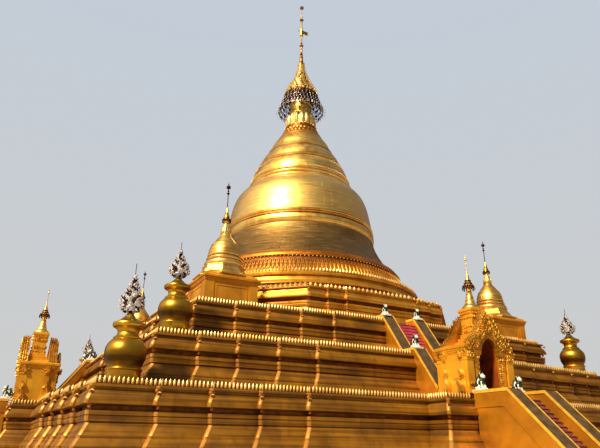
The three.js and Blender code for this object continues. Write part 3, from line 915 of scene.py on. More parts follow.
def leaf_places(plan, out, height, pitch, gap=0.0):
    """A place for each leaf along the walls of a plan; gap keeps the stairs clear."""
    places = []
    corners = moved_out(plan, out)
    for i, start in enumerate(corners):
        start, end = Vector(start), Vector(corners[(i + 1) % len(corners)])
        along = (end - start).normalized()
        runs = [(start.dot(along), end.dot(along))]
        if gap and runs[0][0] < -gap and runs[0][1] > gap:
            runs = [(runs[0][0], -gap), (gap, runs[0][1])]
        for low, high in runs:
            count = max(1, round((high - low) / pitch))
            share = (high - low) / count
            turned_to = Matrix.Rotation(math.atan2(along.y, along.x), 4, "Z")
            wide = turned_to @ Matrix.Diagonal((share / pitch, 1, 1, 1))
            for k in range(count):
                spot = start + along * (low + (k + 0.5) * share - start.dot(along))
                places.append(Matrix.Translation((*spot, height)) @ wide)
    return places


def ring_places(radius, height, count, tilt=0.0):
    """Places on a circle that face outwards; tilt leans their tops inwards."""
    places = []
    for k in range(count):
        around = Matrix.Rotation(k * math.tau / count, 4, "Z")
        places.append(around @ Matrix.Translation((0, -radius, height)) @ Matrix.Rotation(-tilt, 4, "X"))
    return places


ROWS = (
    ("terrace_1", 4.29, STAIR_GAP, LEAF, LEAF_PITCH), ("terrace_2", 7.56, STAIR_GAP, LEAF, LEAF_PITCH),
    ("terrace_3", 10.48, STAIR_GAP, LEAF, LEAF_PITCH), ("octagon", 13.4, 0, GREAT_LEAF, GREAT_PITCH),
)
for name, height, gap, leaf, pitch in ROWS:
    row = set_copies(bmesh.new(), leaf, leaf_places(LEVELS[name][0], -0.02, height, pitch, gap))
    piece_of(f"{name}_leaves", row, RIM_GOLD, merge=False)
DRUM_LEAVES = round(math.tau * DRUM_RADIUS / DRUM_PITCH)
row = set_copies(bmesh.new(), DRUM_LEAF, ring_places(DRUM_RADIUS - 0.02, 15.64, DRUM_LEAVES))
piece_of("round_terrace_leaves", row, RIM_GOLD, merge=False)

# %% [markdown]
# ## Corner bosses
#
# In the deep groove under each cornice and again near the top, every outer corner carries a small
# round boss. It hides the joint where two runs of moulding meet, and it glints against the groove.

# %% Bosses
def boss_mesh(radius):
    """A small round boss."""
    bm = bmesh.new()
    bmesh.ops.create_uvsphere(bm, u_segments=8, v_segments=5, radius=radius)
    return small_mesh(bm, "corner_boss")


def boss_places(plan, out, height):
    """A place for each boss, at every corner that points outwards."""
    corners = enumerate(moved_out(plan, out))
    return [Matrix.Translation((*corner, height)) for i, corner in corners
            if round_corner(plan, i, CORNER_CUT)[1]]


bosses, boss = bmesh.new(), boss_mesh(0.1)
for name, height, *_ in ROWS:
    for out, drop in ((0.2, 1.06), (0.36, 0.3)):
        set_copies(bosses, boss, boss_places(LEVELS[name][0], out, height - drop))
piece_of("corner_bosses", bosses, UPPER_GOLD, merge=False)

# %% [markdown]
# ## The leaf ring under the bell
#
# Between the round terrace and the bell lies a sloping ring with upright leaves. Each leaf is only
# a gilded rim over a dark brown ground, with a slim bud inside; the ground is lacquer and painted
# shade in one. Above it runs a row of dots, and a thick round moulding leads to the bell.

# %% Leaf ring
RING_FOOT, RING_HEAD = (11.56, 15.8), (10.72, 17.58)
RING_TILT = math.atan2(RING_FOOT[0] - RING_HEAD[0], RING_HEAD[1] - RING_FOOT[1])
RING_LEAVES = 184

# The dark ground behind the ring's leaves: lacquer and painted shade in one.
ground = turned(closed([(11.6, 15.4), (11.6, 15.7), RING_FOOT, RING_HEAD, (10.5, 17.7)]), ROUND_STEPS)
piece_of("leaf_ring_ground", ground, SHADE_LACQUER, "lotus_ring")
collar = [(10.4, 17.58), (10.84, 17.6), (10.86, 17.7), (10.72, 17.72)]
collar += [*bulge((10.72, 17.75), (10.08, 18.3), 0.16, 10), (9.98, 18.33), (9.98, 18.37)]
piece_of("bell_foot_moulding", turned(closed(collar), ROUND_STEPS), FOOT_GOLD)
sill = [(11.5, 15.62), (11.66, 15.64), *bulge((11.66, 15.68), (11.62, 15.8), 0.04, 4), (11.4, 15.84)]
piece_of("leaf_ring_sill", turned(closed(sill), ROUND_STEPS), TURNED_GOLD)


def leaf_rim(width, height, thickness, rim):
    """The rim of a leaf, open in its middle and at its foot."""
    outer = leaf_outline(width, height)
    inner = [(x * (1 - 2 * rim / width), z * (1 - rim / height)) for x, z in outer]
    bm = bmesh.new()
    front_slab(bm, [*outer, *reversed(inner)], 0, thickness)
    return small_mesh(bm, "leaf_rim")


ring_leaf = leaf_rim(0.37, 1.66, 0.09, 0.05)
ring_bud = small_mesh(ridged_leaf(0.13, 1.1, 0.03, 0.05), "ring_bud")
places = ring_places(RING_FOOT[0] - 0.02, 15.84, RING_LEAVES, RING_TILT)
leaves = set_copies(bmesh.new(), ring_leaf, places)
set_copies(leaves, ring_bud, [m @ Matrix.Translation((0, 0, 0.12)) for m in places])
piece_of("ring_leaves", leaves, UPPER_GOLD, merge=False)
dots = set_copies(bmesh.new(), boss_mesh(0.075), ring_places(10.8, 17.56, RING_LEAVES))
piece_of("ring_dots", dots, RIM_GOLD, merge=False)

# %% [markdown]
# ## The bell
#
# The bell has two skins. Below, rows of plates lap over each other, so each row starts a little
# outside the one below it, like roof tiles. Above a belt of rings, the shoulder is smooth and
# gilded. The outline was read from the photo as the smallest radius at each height that the
# silhouette allows.

# %% Lower bell
LOWER_BELL = ((9.96, 18.36), (9.6, 18.8), (9.32, 19.2), (8.96, 19.8), (8.74, 20.2), (8.46, 20.8),
              (8.28, 21.3), (8.16, 21.8), (8.12, 22.0))
PLATE_ROWS = 24
PLATE_LAP = 0.02


def radius_at(outline, height):
    """The radius of an outline at a height, by straight lines between its points."""
    for (r0, z0), (r1, z1) in zip(outline, outline[1:]):
        if z0 <= height <= z1:
            return r0 + (r1 - r0) * (height - z0) / (z1 - z0)
    return outline[-1][0] if height > outline[-1][1] else outline[0][0]


def smooth_radius(outline, height, reach=0.3):
    """The radius of an outline with its corners rounded over a reach."""
    low, high = outline[0][1], outline[-1][1]
    spots = [min(max(height + reach * k / 3, low), high) for k in range(-3, 4)]
    return sum(radius_at(outline, z) for z in spots) / len(spots)


rows = []
low, high = LOWER_BELL[0][1], LOWER_BELL[-1][1]
for i in range(PLATE_ROWS):
    foot, head = (low + (high - low) * k / PLATE_ROWS for k in (i, i + 1))
    rows += [(smooth_radius(LOWER_BELL, foot) + PLATE_LAP, foot), (smooth_radius(LOWER_BELL, head), head)]
piece_of("bell_plates", turned(closed(rows), ROUND_STEPS), PLATE_GOLD, "bell")

# %% Belt and shoulder
belt = [
    (8.0, 21.95), (8.14, 21.98), (8.17, 22.02), (8.12, 22.06), (8.14, 22.1),
    *bulge((8.16, 22.12), (8.2, 22.88), 0.07, 8), (8.12, 22.92), (8.07, 22.98), (8.07, 23.04),
    *bulge((8.17, 23.06), (8.18, 23.2), 0.06, 5), (8.07, 23.23),
    (8.07, 23.28), *bulge((8.15, 23.3), (8.14, 23.44), 0.06, 5), (8.03, 23.47), (7.95, 23.52),
]
piece_of("bell_belt", turned(closed(belt), ROUND_STEPS), TURNED_GOLD)


def dark_lines(name, spots):
    """Thin dark rings of painted shade in the grooves of a turned piece, at each radius and height."""
    bm = bmesh.new()
    for radius, height, tall in spots:
        flat_ring(bm, radius - 0.1, radius, height, height + tall, ROUND_STEPS)
    piece_of(name, bm, GROOVE_SHADE_GOLD)


# Rings of painted shade in the grooves of the belt.
dark_lines("belt_lines", ((8.11, 22.93, 0.1), (8.12, 23.23, 0.05), (8.09, 23.48, 0.06), (8.15, 22.05, 0.05)))
SHOULDER = ((8.09, 23.5), (8.02, 24.0), (7.94, 24.5), (7.85, 25.0), (7.76, 25.5), (7.65, 26.0), (7.49, 26.5),
            (7.3, 27.0), (6.96, 27.5), (6.48, 28.0), (6.1, 28.2))
skin = [(smooth_radius(SHOULDER, z / 10), z / 10) for z in range(235, 283)]
piece_of("bell_shoulder", turned(closed(skin), ROUND_STEPS), BELL_GOLD)

# %% [markdown]
# ## The ringed cone
#
# Above the bell the shaft narrows through three plain bands between pairs of thin rings. Each
# band swells a little, dark rings of painted shade lie in the grooves, and rows of small beads run
# between.

# %% Cone
def pair_of_rings(radius, height, slope):
    """Two thin round rings with grooves under, between and above them."""
    points = [(radius - 0.02, height - 0.1), (radius - 0.05, height - 0.06)]
    for z in (height, height + 0.2):
        r = radius - slope * (z - height)
        points += [*bulge((r, z - 0.02), (r - slope * 0.14, z + 0.12), 0.06, 5), (r - 0.09, z + 0.14)]
    return points


cone = [
    (6.2, 28.0), (5.94, 28.03), *bulge((5.98, 28.12), (5.96, 28.66), 0.17, 8), (5.78, 28.7), (5.76, 28.76),
    *bulge((5.84, 28.8), (5.8, 29.14), 0.1, 6), (5.66, 29.17), (5.66, 29.23),
    *bulge((5.72, 29.26), (5.68, 29.44), 0.06, 5), (5.6, 29.47),
    *bulge((5.62, 29.5), (5.06, 31.16), 0.12, 12),
    *pair_of_rings(4.98, 31.3, 0.36), *bulge((4.78, 31.68), (3.98, 33.2), 0.1, 12),
    *pair_of_rings(3.88, 33.34, 0.4), *bulge((3.68, 33.72), (2.78, 35.4), 0.1, 12),
    *pair_of_rings(2.68, 35.5, 0.44), (2.44, 35.86), (2.02, 36.6), (1.9, 36.68),
]
piece_of("cone_bands", turned(closed(cone), ROUND_STEPS), TURNED_GOLD, "ringed_cone")

# Rings of painted shade in the grooves of the cone.
dark_lines("cone_lines", ((5.82, 28.7, 0.06), (5.69, 29.17, 0.06), (5.63, 29.46, 0.05), (5.06, 31.21, 0.08),
                          (4.92, 31.44, 0.05), (4.86, 31.64, 0.05), (3.96, 33.25, 0.08), (3.82, 33.48, 0.05),
                          (3.74, 33.68, 0.05), (2.76, 35.42, 0.07), (2.62, 35.64, 0.05)))
bead = boss_mesh(0.055)
beads = bmesh.new()
for radius, height, count in ((5.71, 29.6, 170), (5.16, 31.06, 150), (3.97, 33.12, 120), (2.8, 35.3, 90)):
    set_copies(beads, bead, ring_places(radius, height, count))
piece_of("cone_beads", beads, RIM_GOLD, merge=False)

# %% [markdown]
# ## Curved petals
#
# The petals of the lotus are thick and swell outwards. A small grid is shaped by a few formulas:
# its width follows the outline of a petal, its middle stands out, and its tip curls. Then the
# sheet gets its thickness.

# %% Petal
def curved_petal(width, height, swell, curl, thickness, across=6, up=7):
    """A pointed petal that stands on the origin, swells towards the front and curls at its tip."""
    bm = bmesh.new()
    bmesh.ops.create_grid(bm, x_segments=across, y_segments=up, size=0.5)
    for corner in bm.verts:
        side, rise = corner.co.x * 2, corner.co.y + 0.5
        half = width / 2 * (0.8 + 0.45 * rise - 0.25 * rise ** 2) * math.sqrt(max(0.0, 1 - rise ** 3.2))
        out = swell * math.cos(side * math.pi / 2) * math.sin(math.pi * min(1, rise * 0.9 + 0.1))
        corner.co = (side * half, -out - curl * rise ** 5, rise * height)
    bmesh.ops.remove_doubles(bm, verts=bm.verts, dist=1e-4)
    bmesh.ops.recalc_face_normals(bm, faces=bm.faces)
    bmesh.ops.solidify(bm, geom=bm.faces[:], thickness=thickness)
    return small_mesh(bm, "petal")


def petal_ring(bm, petal, radius, height, count, tilt=0.0, hanging=False, offset=0.0):
    """Sets petals round the axis; hanging ones point down."""
    flip = HUNG if hanging else Matrix.Identity(4)
    start = Matrix.Rotation(offset * math.tau / count, 4, "Z")
    return set_copies(bm, petal, [start @ m @ flip for m in ring_places(radius, height, count, tilt)])


# %% [markdown]
# ## The lotus collar
#
# Two rings of petals meet at a round band: short ones hang over the cone, and tall ones stand
# under the crown. They are burnished leaf, the brightest spot of the whole shaft.

# %% Lotus collar
core = [(2.0, 36.55), (2.04, 36.7), *bulge((1.86, 36.8), (1.86, 37.3), 0.05, 4), (1.74, 37.4), (1.7, 38.4),
        (1.62, 39.1), (1.5, 39.3), (1.28, 39.4)]
piece_of("collar_core", turned(closed(core), 64), TURNED_GOLD, "lotus_collar")
petals = bmesh.new()
petal_ring(petals, curved_petal(0.66, 1.75, 0.2, -0.1, 0.05), 1.7, 37.42, 16, 0.02)
petal_ring(petals, curved_petal(0.54, 1.5, 0.12, -0.06, 0.04), 1.64, 37.5, 16, 0.02, offset=0.5)
set_copies(petals, boss_mesh(0.09), ring_places(1.88, 37.36, 28))
piece_of("collar_petals", petals, RIM_GOLD, merge=False)
hung = bmesh.new()
petal_ring(hung, curved_petal(0.5, 0.6, 0.14, 0.1, 0.04), 1.84, 37.38, 22, -0.22, hanging=True)
petal_ring(hung, curved_petal(0.46, 0.5, 0.12, 0.08, 0.04), 2.14, 36.66, 28, -0.3, hanging=True)
petal_ring(hung, curved_petal(0.5, 0.56, 0.12, 0.06, 0.04), 2.38, 36.16, 30, -0.4, hanging=True, offset=0.5)
piece_of("collar_hung_petals", hung, UPPER_GOLD, merge=False)
# Dark rings of painted shade in the collar's groove and under the hung petals.
shade = turned(closed([(1.8, 36.7), (1.93, 36.72), (1.91, 37.3), (1.8, 37.34)]), 48)
turned([(2.3, 35.92), (2.42, 35.96), (2.08, 36.62), (2.0, 36.6)], 48, shade)
piece_of("collar_shade", shade, SHADE_LACQUER)

# %% The bud under the crown
bud = [(1.28, 39.3), (1.3, 39.42), (1.24, 39.5), *bulge((1.26, 39.6), (1.3, 40.5), 0.03, 6), (1.36, 40.56),
       (1.36, 40.66), (1.26, 40.7), *bulge((1.2, 40.8), (0.5, 43.0), 0.12, 10)]
piece_of("bud_core", turned(closed(bud), 64), TURNED_GOLD, "bud")
bud_petals = bmesh.new()
petal_ring(bud_petals, curved_petal(0.5, 1.2, 0.1, 0.05, 0.04), 1.28, 40.66, 16, 0.3)
petal_ring(bud_petals, curved_petal(0.36, 1.1, 0.08, 0.05, 0.03), 0.98, 41.5, 14, 0.34, offset=0.5)
piece_of("bud_petals", bud_petals, RIM_GOLD, merge=False)

# %% [markdown]
# ## The umbrella crown
#
# The crown is a stack of metal rings that shrink towards the mast. Cut leaves hang from each
# ring, and the wide lowest rings carry rows of small bells. The upper rings stand so close that
# they look like a solid cone, whose inside lies in deep shade; a dark lining paints that shade. The
# sky shows through the lower skirt, a net of crossed bars and hanging leaves.

# %% Crown rings
CROWN_OUTLINE = ((2.02, 42.0), (1.92, 42.4), (1.66, 43.0), (1.34, 43.6), (1.1, 44.1), (0.8, 44.75),
                 (0.57, 45.5), (0.41, 46.3), (0.33, 47.1))
CROWN_TIERS = (42.05, 42.5, 42.95, 43.4, 43.84, 44.26, 44.66, 45.04, 45.4, 45.74, 46.06, 46.36, 46.64, 46.9)
SKIRT_RINGS = ((2.1, 42.05), (2.24, 41.6), (2.4, 41.1), (2.58, 40.6), (2.76, 40.1))
SKIRT_ENDS = (2.98, 39.95)


def hoop(bm, radius, height, thick):
    """A round hoop of thin bar."""
    turned(bulge((radius, height - thick), (radius, height + thick), thick, 4)
           + bulge((radius, height + thick), (radius, height - thick), thick, 4)[1:], 64, bm)


crown = bmesh.new()
for low, high in zip(CROWN_TIERS, [*CROWN_TIERS[1:], 47.15]):
    wide = radius_at(CROWN_OUTLINE, low) + 0.02
    tight = radius_at(CROWN_OUTLINE, high) - 0.05
    lip = [(wide - 0.03, low), *bulge((wide, low), (wide, low + 0.08), 0.03, 3)]
    rise = [(wide - 0.05, low + 0.1), (tight, high - 0.02), (tight - 0.04, high - 0.02)]
    turned([*lip, *rise, (wide - 0.12, low + 0.06), (wide - 0.03, low)], 48, crown)
piece_of("crown_rings", crown, CROWN_GOLD, "umbrella_crown")
# A dark lining inside the rings: painted shade.
lining = [(max(0.3, radius_at(CROWN_OUTLINE, z / 10) - 0.13), z / 10) for z in range(421, 460, 3)]
lining += [(r - 0.03, z) for r, z in reversed(lining)]
piece_of("crown_shade_lining", turned([*lining, lining[0]], 48), DARK_IRON_AND_SHADE)
hoops = bmesh.new()
for radius, height in SKIRT_RINGS:
    hoop(hoops, radius, height, 0.04)
piece_of("crown_hoops", hoops, DARK_IRON_AND_SHADE)

# %% Crown leaves and bells
def bell_mesh(radius, height):
    """A small hanging bell with its stem and clapper leaf, which hangs from the origin."""
    bm = bmesh.new()
    outline = [(0, -0.25 * height), (0.3 * radius, -0.3 * height), (0.62 * radius, -0.6 * height),
               (radius, -height), (0.8 * radius, -height), (0, -0.5 * height)]
    turned(outline, 6, bm)
    rod(bm, (0, 0, 0), (0, 0, -0.3 * height), 0.12 * radius, 4)
    rod(bm, (0, 0, -0.5 * height), (0, 0, -1.7 * height), 0.1 * radius, 4)
    matrix = Matrix.Translation((0, 0, -1.9 * height)) @ Matrix.Diagonal((0.8, 0.2, 1, 1))
    bmesh.ops.create_cone(bm, cap_ends=True, segments=4, radius1=radius, radius2=0.2 * radius,
                          depth=0.5 * height, matrix=matrix)
    return small_mesh(bm, "crown_bell")


crown_leaf = small_mesh(ridged_leaf(0.2, 0.3, 0.02, 0.05), "crown_leaf")
leaves, browned = bmesh.new(), bmesh.new()
for i, height in enumerate(CROWN_TIERS):
    radius = radius_at(CROWN_OUTLINE, height) + 0.05
    count = max(10, round(math.tau * radius / 0.23))
    size = Matrix.Diagonal((math.tau * radius / count / 0.23, 1, 0.8 + 0.2 * radius, 1))
    spots = ring_places(radius, height + 0.05, count, -0.15)
    curls = ring_places(radius - 0.04, height + 0.08, count, -0.5)
    hanging = [m @ HUNG @ size for m in spots]
    set_copies(leaves, crown_leaf, hanging[::2])
    set_copies(leaves, crown_leaf, [m @ size for m in curls[1::2]])
    set_copies(browned, crown_leaf, hanging[1::2][i % 2::2])
    set_copies(leaves, crown_leaf, hanging[1::2][(i + 1) % 2::2])
piece_of("crown_leaves", leaves, RIM_GOLD, merge=False)
piece_of("crown_dark_leaves", browned, DARK_IRON_AND_SHADE, merge=False)

bells = bmesh.new()
crown_bell = bell_mesh(0.07, 0.16)
for (radius, height), count in zip((*SKIRT_RINGS[1:], SKIRT_ENDS), (30, 36, 40, 48, 30)):
    set_copies(bells, crown_bell, ring_places(radius + 0.03, height, count))
piece_of("crown_bells", bells, SHEET_SILVER, merge=False)

# %% Crown skirt
SKIRT_BARS = 30


def on_circle(radius, height, turns):
    """A point on a circle round the axis, at a share of a full turn."""
    return radius * math.cos(turns * math.tau), radius * math.sin(turns * math.tau), height


skirt_rim = leaf_rim(0.44, 0.66, 0.03, 0.06)
skirt_leaf = small_mesh(ridged_leaf(0.26, 0.5, 0.02, 0.04), "skirt_leaf")
skirt = bmesh.new()
for k in range(SKIRT_BARS):
    here, beside = k / SKIRT_BARS, (k + 0.5) / SKIRT_BARS
    for upper, lower in zip(((1.95, 42.6), *SKIRT_RINGS), SKIRT_RINGS):
        rod(skirt, on_circle(*upper, here), on_circle(*lower, beside), 0.018, 4)
        rod(skirt, on_circle(*lower, here), on_circle(*upper, beside), 0.018, 4)
    rod(skirt, on_circle(*SKIRT_RINGS[-1], here), on_circle(*SKIRT_ENDS, here), 0.014, 4)
for (radius, height), count in zip(SKIRT_RINGS, (34, 34, 30, 28, 30)):
    set_copies(skirt, skirt_rim, [m @ HUNG for m in ring_places(radius, height - 0.02, count, -0.22)])
    inside = ring_places(radius - 0.05, height - 0.04, count, 0.1)[::2]
    set_copies(skirt, skirt_leaf, [m @ HUNG for m in inside])
piece_of("crown_skirt", skirt, DARK_IRON_AND_SHADE, merge=False)

# %% [markdown]
# ## Mast and vane
#
# A slim mast rises from the crown. It carries a bead, the vane, a second bead, and the orb, which
# is set with dark stones. The vane is a small flag that turns in the wind on a loose sleeve, with
# a ball on the other side as its counterweight, so it rides on a body of its own.

# %% Mast
MAST_RADIUS = 0.09
mast = [(0.4, 43.0), (0.22, 43.5), (0.22, 46.6), (0.34, 46.9), (0.34, 47.1),
        *bulge((0.28, 47.14), (0.24, 47.5), 0.04, 4), (0.27, 47.56), (0.2, 47.62), (0.23, 48.0),
        (0.17, 48.06), (0.2, 48.4), (0.14, 48.46), (0.17, 48.9), (0.12, 49.0), (0.14, 49.6), (0.1, 49.7),
        (0.1, 49.86), *bulge((0.1, 49.9), (0.1, 50.3), 0.15, 8), (0.1, 50.36), (0.15, 50.5), (0.09, 50.62),
        (MAST_RADIUS, 51.7), (0.2, 51.74), (0.2, 51.86), (MAST_RADIUS, 51.869), (MAST_RADIUS, 54.1),
        *bulge((0.07, 54.16), (0.07, 54.6), 0.17, 8), (0.05, 54.7), (0.1, 55.0), (0.04, 55.2), (0.04, 56.1),
        *bulge((0.04, 56.2), (0.04, 56.72), 0.21, 10), (0.03, 56.76), (0.01, 57)]
piece_of("mast_shaft", turned(closed(mast), 24), MAST_METAL, "mast")
stones, stone = bmesh.new(), boss_mesh(0.04)
for height, radius, count in ((56.33, 0.18, 10), (56.47, 0.235, 12), (56.61, 0.18, 10), (54.38, 0.24, 10),
                              (50.1, 0.24, 10), (47.3, 0.28, 14), (48.2, 0.2, 10), (48.65, 0.17, 8)):
    set_copies(stones, stone, ring_places(radius, height, count))
piece_of("mast_stones", stones, DARK_IRON_AND_SHADE, merge=False)

# %% Vane
VANE_BORE, VANE_SLEEVE, VANE_HUB = 0.112, 0.16, 0.19
VANE_LOW, VANE_HIGH, VANE_MIDDLE = 51.87, 52.9, 52.41
VANE_REACH, VANE_HALF = 1.05, 0.02


def vane_flag():
    """A swallow-tailed flag on a sleeve that turns on the mast."""
    bm = turned([(VANE_BORE, VANE_LOW), (VANE_HUB, VANE_LOW), (VANE_HUB, VANE_LOW + 0.08),
                 (VANE_SLEEVE, VANE_LOW + 0.12), (VANE_SLEEVE, VANE_HIGH - 0.12),
                 (VANE_HUB, VANE_HIGH - 0.08), (VANE_HUB, VANE_HIGH), (VANE_BORE, VANE_HIGH),
                 (VANE_BORE, VANE_LOW)], 24)
    inner, outer = VANE_HUB - 0.04, VANE_REACH
    upper = [(inner, 52.72), (0.45, 52.66), (0.7, 52.72), (outer, 52.62), (0.84, 52.5), (0.92, 52.42)]
    lower = [(0.84, 52.34), (outer, 52.22), (0.7, 52.12), (0.45, 52.16), (inner, 52.1)]
    front_slab(bm, [*lower[::-1], *upper[::-1]], -VANE_HALF, VANE_HALF)
    rod(bm, (inner, 0, VANE_MIDDLE), (0.9, 0, VANE_MIDDLE), 0.03)
    rod(bm, (-inner, 0, VANE_MIDDLE), (-0.42, 0, VANE_MIDDLE), 0.025)
    round_mass(bm, (-0.46, 0, VANE_MIDDLE), (0.07, 0.07, 0.07), detail=1)
    return bm


piece_of("vane_flag", vane_flag(), CROWN_GOLD, "vane", body="vane")

# %% [markdown]
# ## Corner shrines
#
# A small stupa stands on each corner of the third terrace. Its square base has a pilaster at each
# corner and a sunk panel between them, then come a low roof, an eight-sided block, turned rings,
# a little bell, and a crown with a thin mast.

# %% Shrine base
SHRINE_DISTANCE = 13.7
SHRINE_STEPS = 40


def shrine_base():
    """The square base with pilasters, panels and a moulded cornice."""
    floor = FLOOR_3
    courses = [
        (0.16, floor), (0.16, floor + 0.22), (0.12, floor + 0.26), (0.1, floor + 0.38), (0.0, floor + 0.42),
        (0.0, 12.2), (0.1, 12.26), (0.1, 12.34), (0.14, 12.36), (0.14, 12.46), (0.22, 12.5), (0.22, 12.64),
        (0.18, 12.66), (0.06, 12.74), (0.02, 12.84), (-0.1, 12.88), (-0.3, 13.0), (-0.32, 13.1),
    ]
    base = raised(square_plan(1.94), courses, 0.04)
    for corner in square_plan(1):
        low = [min(side * 1.32, side * 1.99) for side in corner]
        high = [max(side * 1.32, side * 1.99) for side in corner]
        block(base, (*low, floor + 0.3), (*high, 12.24))
    for side in range(4):
        frame_bars = []
        for x in (-1.16, 1.16):
            frame_bars += block(base, (x - 0.05, -1.97, floor + 0.66), (x + 0.05, -1.9, 11.94))
        for z in (floor + 0.6, 11.95):
            frame_bars += block(base, (-1.22, -1.975, z), (1.22, -1.9, z + 0.09))
        quarter = Matrix.Rotation(side * math.pi / 2, 3, "Z")
        bmesh.ops.rotate(base, cent=(0, 0, 0), matrix=quarter, verts=frame_bars)
    return base


# %% Shrine drum and spire
def eight_sided(flat):
    """The plan of an octagon whose sides lie at a distance from the middle."""
    reach = flat / math.cos(math.pi / 8)
    turns = [(k + 0.5) * math.pi / 4 for k in range(8)]
    return [(reach * math.cos(t), reach * math.sin(t)) for t in turns]


def shrine_spire():
    """The eight-sided block, the rings, the bell and the cone of a corner shrine."""
    courses = [(0.66, 12.86), (0.66, 12.94), (0.54, 12.98), (0.4, 13.08), (0.28, 13.22), (0.22, 13.34),
               (0.22, 13.4), (0.12, 13.43), (0.06, 13.52), (0.03, 13.72), (0.07, 13.74), (0.07, 13.82),
               (-0.1, 13.84)]
    bm = raised(eight_sided(1.4), courses)
    rings = [
        (1.34, 13.8), (1.38, 13.84), *bulge((1.42, 13.87), (1.36, 14.22), 0.07, 8), (1.28, 14.25),
        (1.28, 14.3), *bulge((1.31, 14.32), (1.27, 14.53), 0.05, 6), (1.19, 14.56), (1.19, 14.62),
        *bulge((1.24, 14.64), (1.23, 14.8), 0.03, 4), (1.19, 14.82), (1.19, 14.86),
        *flowing([(1.22, 14.88), (1.19, 15.08), (1.13, 15.3), (1.03, 15.52)], 4), (1.02, 15.54),
        *bulge((1.03, 15.55), (0.97, 15.63), 0.02, 3), (0.94, 15.64),
        *flowing([(0.92, 15.68), (0.82, 15.82), (0.68, 16.02), (0.54, 16.2), (0.43, 16.36),
                  (0.37, 16.48)], 3),
        (0.35, 16.5), *bulge((0.4, 16.52), (0.38, 16.6), 0.03, 4), (0.32, 16.62), (0.2, 17.3), (0.15, 17.44),
    ]
    return turned(closed(rings), SHRINE_STEPS, bm)


def shrine_petals():
    """Pale upright petals round the neck of a corner shrine, in two rows."""
    bm = bmesh.new()
    petal = small_mesh(ridged_leaf(0.17, 0.4, 0.03, 0.04), "shrine_petal")
    for radius, height, tilt in ((0.36, 16.62, 0.12), (0.29, 16.96, 0.28)):
        set_copies(bm, petal, ring_places(radius, height, 12, tilt))
    return bm


def shrine_lines():
    """Dark rings of painted shade in the two grooves under the little bell."""
    bm = bmesh.new()
    flat_ring(bm, 1.05, 1.215, 14.55, 14.64, SHRINE_STEPS)
    flat_ring(bm, 1.15, 1.31, 14.23, 14.31, SHRINE_STEPS)
    return bm


def shrine_crown():
    """The little crown of a corner shrine, up to the foot of the mast."""
    crown = [(0.15, 17.4), (0.3, 17.66), (0.33, 17.7), (0.32, 17.76), (0.27, 17.82), (0.23, 17.98),
             (0.18, 18.16), (0.15, 18.2), (0.12, 18.36), (0.09, 18.58), (0.06, 18.74)]
    return turned(closed(crown), 20)


def shrine_fringe():
    """The dark leaves that hang from the rim of a shrine's crown."""
    bm = bmesh.new()
    pendant = small_mesh(leaf_plate(0.13, 0.26, 0.02), "shrine_leaf")
    return set_copies(bm, pendant, [m @ HUNG for m in ring_places(0.33, 17.76, 16, -0.05)])


def shrine_mast():
    """The thin mast of a corner shrine, with small beads and a cage-like orb."""
    mast = [(0.04, 18.7), (0.035, 19.8), *bulge((0.035, 19.9), (0.035, 20.08), 0.09, 6), (0.03, 20.12),
            *bulge((0.03, 20.14), (0.03, 20.26), 0.06, 4), (0.03, 20.34),
            *bulge((0.05, 20.36), (0.05, 20.7), 0.14, 8), (0.03, 20.72), (0.06, 20.8), (0.02, 20.84),
            (0.01, 21.0)]
    return turned(closed(mast), 8)


for name, shape, finish, slot, options in (
    ("mast", shrine_mast(), DARK_IRON_AND_SHADE, "gilded_metal", {}),
    ("lines", shrine_lines(), GROOVE_SHADE_GOLD, "gilded_plaster", {}),
    ("petals", shrine_petals(), RIM_GOLD, "gilded_plaster", {"merge": False}),
    ("fringe", shrine_fringe(), DARK_IRON_AND_SHADE, "gilded_metal", {"merge": False}),
    ("base", shrine_base(), SHRINE_GOLD, "gilded_plaster", {"node": "corner_stupa"}),
    ("spire", shrine_spire(), TURNED_GOLD, "gilded_plaster", {}),
    ("crown", shrine_crown(), CROWN_GOLD, "gilded_metal", {}),
):
    copies_of(f"shrine_{name}", shape, corner_moves(SHRINE_DISTANCE), finish, slot, **options)

# %% [markdown]
# ## Covered pots
#
# A potter's shape: foot ring, round belly, narrow neck, wide rim and a lid like a flat cone. They
# stand on the corners of the two lower terraces.

# %% Pots
POT = (
    (0.88, 0.0), (0.9, 0.1), (0.88, 0.14), (0.87, 0.84), *bulge((0.89, 0.88), (0.88, 1.02), 0.04, 5),
    (0.84, 1.05),
    *flowing([(0.84, 1.1), (0.92, 1.24), (1.01, 1.46), (1.05, 1.72), (1.04, 1.94), (0.98, 2.14),
              (0.87, 2.31), (0.74, 2.44)], 3),
    (0.7, 2.46), *bulge((0.7, 2.49), (0.68, 2.58), 0.03, 4), (0.61, 2.61),
    *flowing([(0.58, 2.65), (0.54, 2.74), (0.53, 2.82), (0.56, 2.93), (0.64, 3.02), (0.76, 3.08)], 3),
    *bulge((0.79, 3.1), (0.79, 3.32), 0.04, 5), (0.72, 3.35),
    *flowing([(0.66, 3.38), (0.5, 3.47), (0.34, 3.61), (0.21, 3.76), (0.12, 3.88)], 3),
)
LID_TOP = 3.86
POT_SPOTS = {"low": (21.52, FLOOR_1), "high": (18.26, FLOOR_2)}
for tier, (distance, floor) in POT_SPOTS.items():
    pot = turned(closed([(r, z + floor) for r, z in POT]), 48)
    copies_of(f"pot_{tier}", pot, corner_moves(distance), POT_GOLDS[tier], "gold_leaf", f"vase_{tier}")

# %% [markdown]
# ## Sheet metal flowers
#
# Each pot holds a tall spray of leaves cut from sheet metal, on a hidden stem. The leaves stand
# upright and curl outwards in rings that first widen and then shrink, and the spray ends in a thin
# spike, so its outline is that of a flame. Leaves differ a little in turn and lean, as bent tin
# does, and two in five have gone brown.

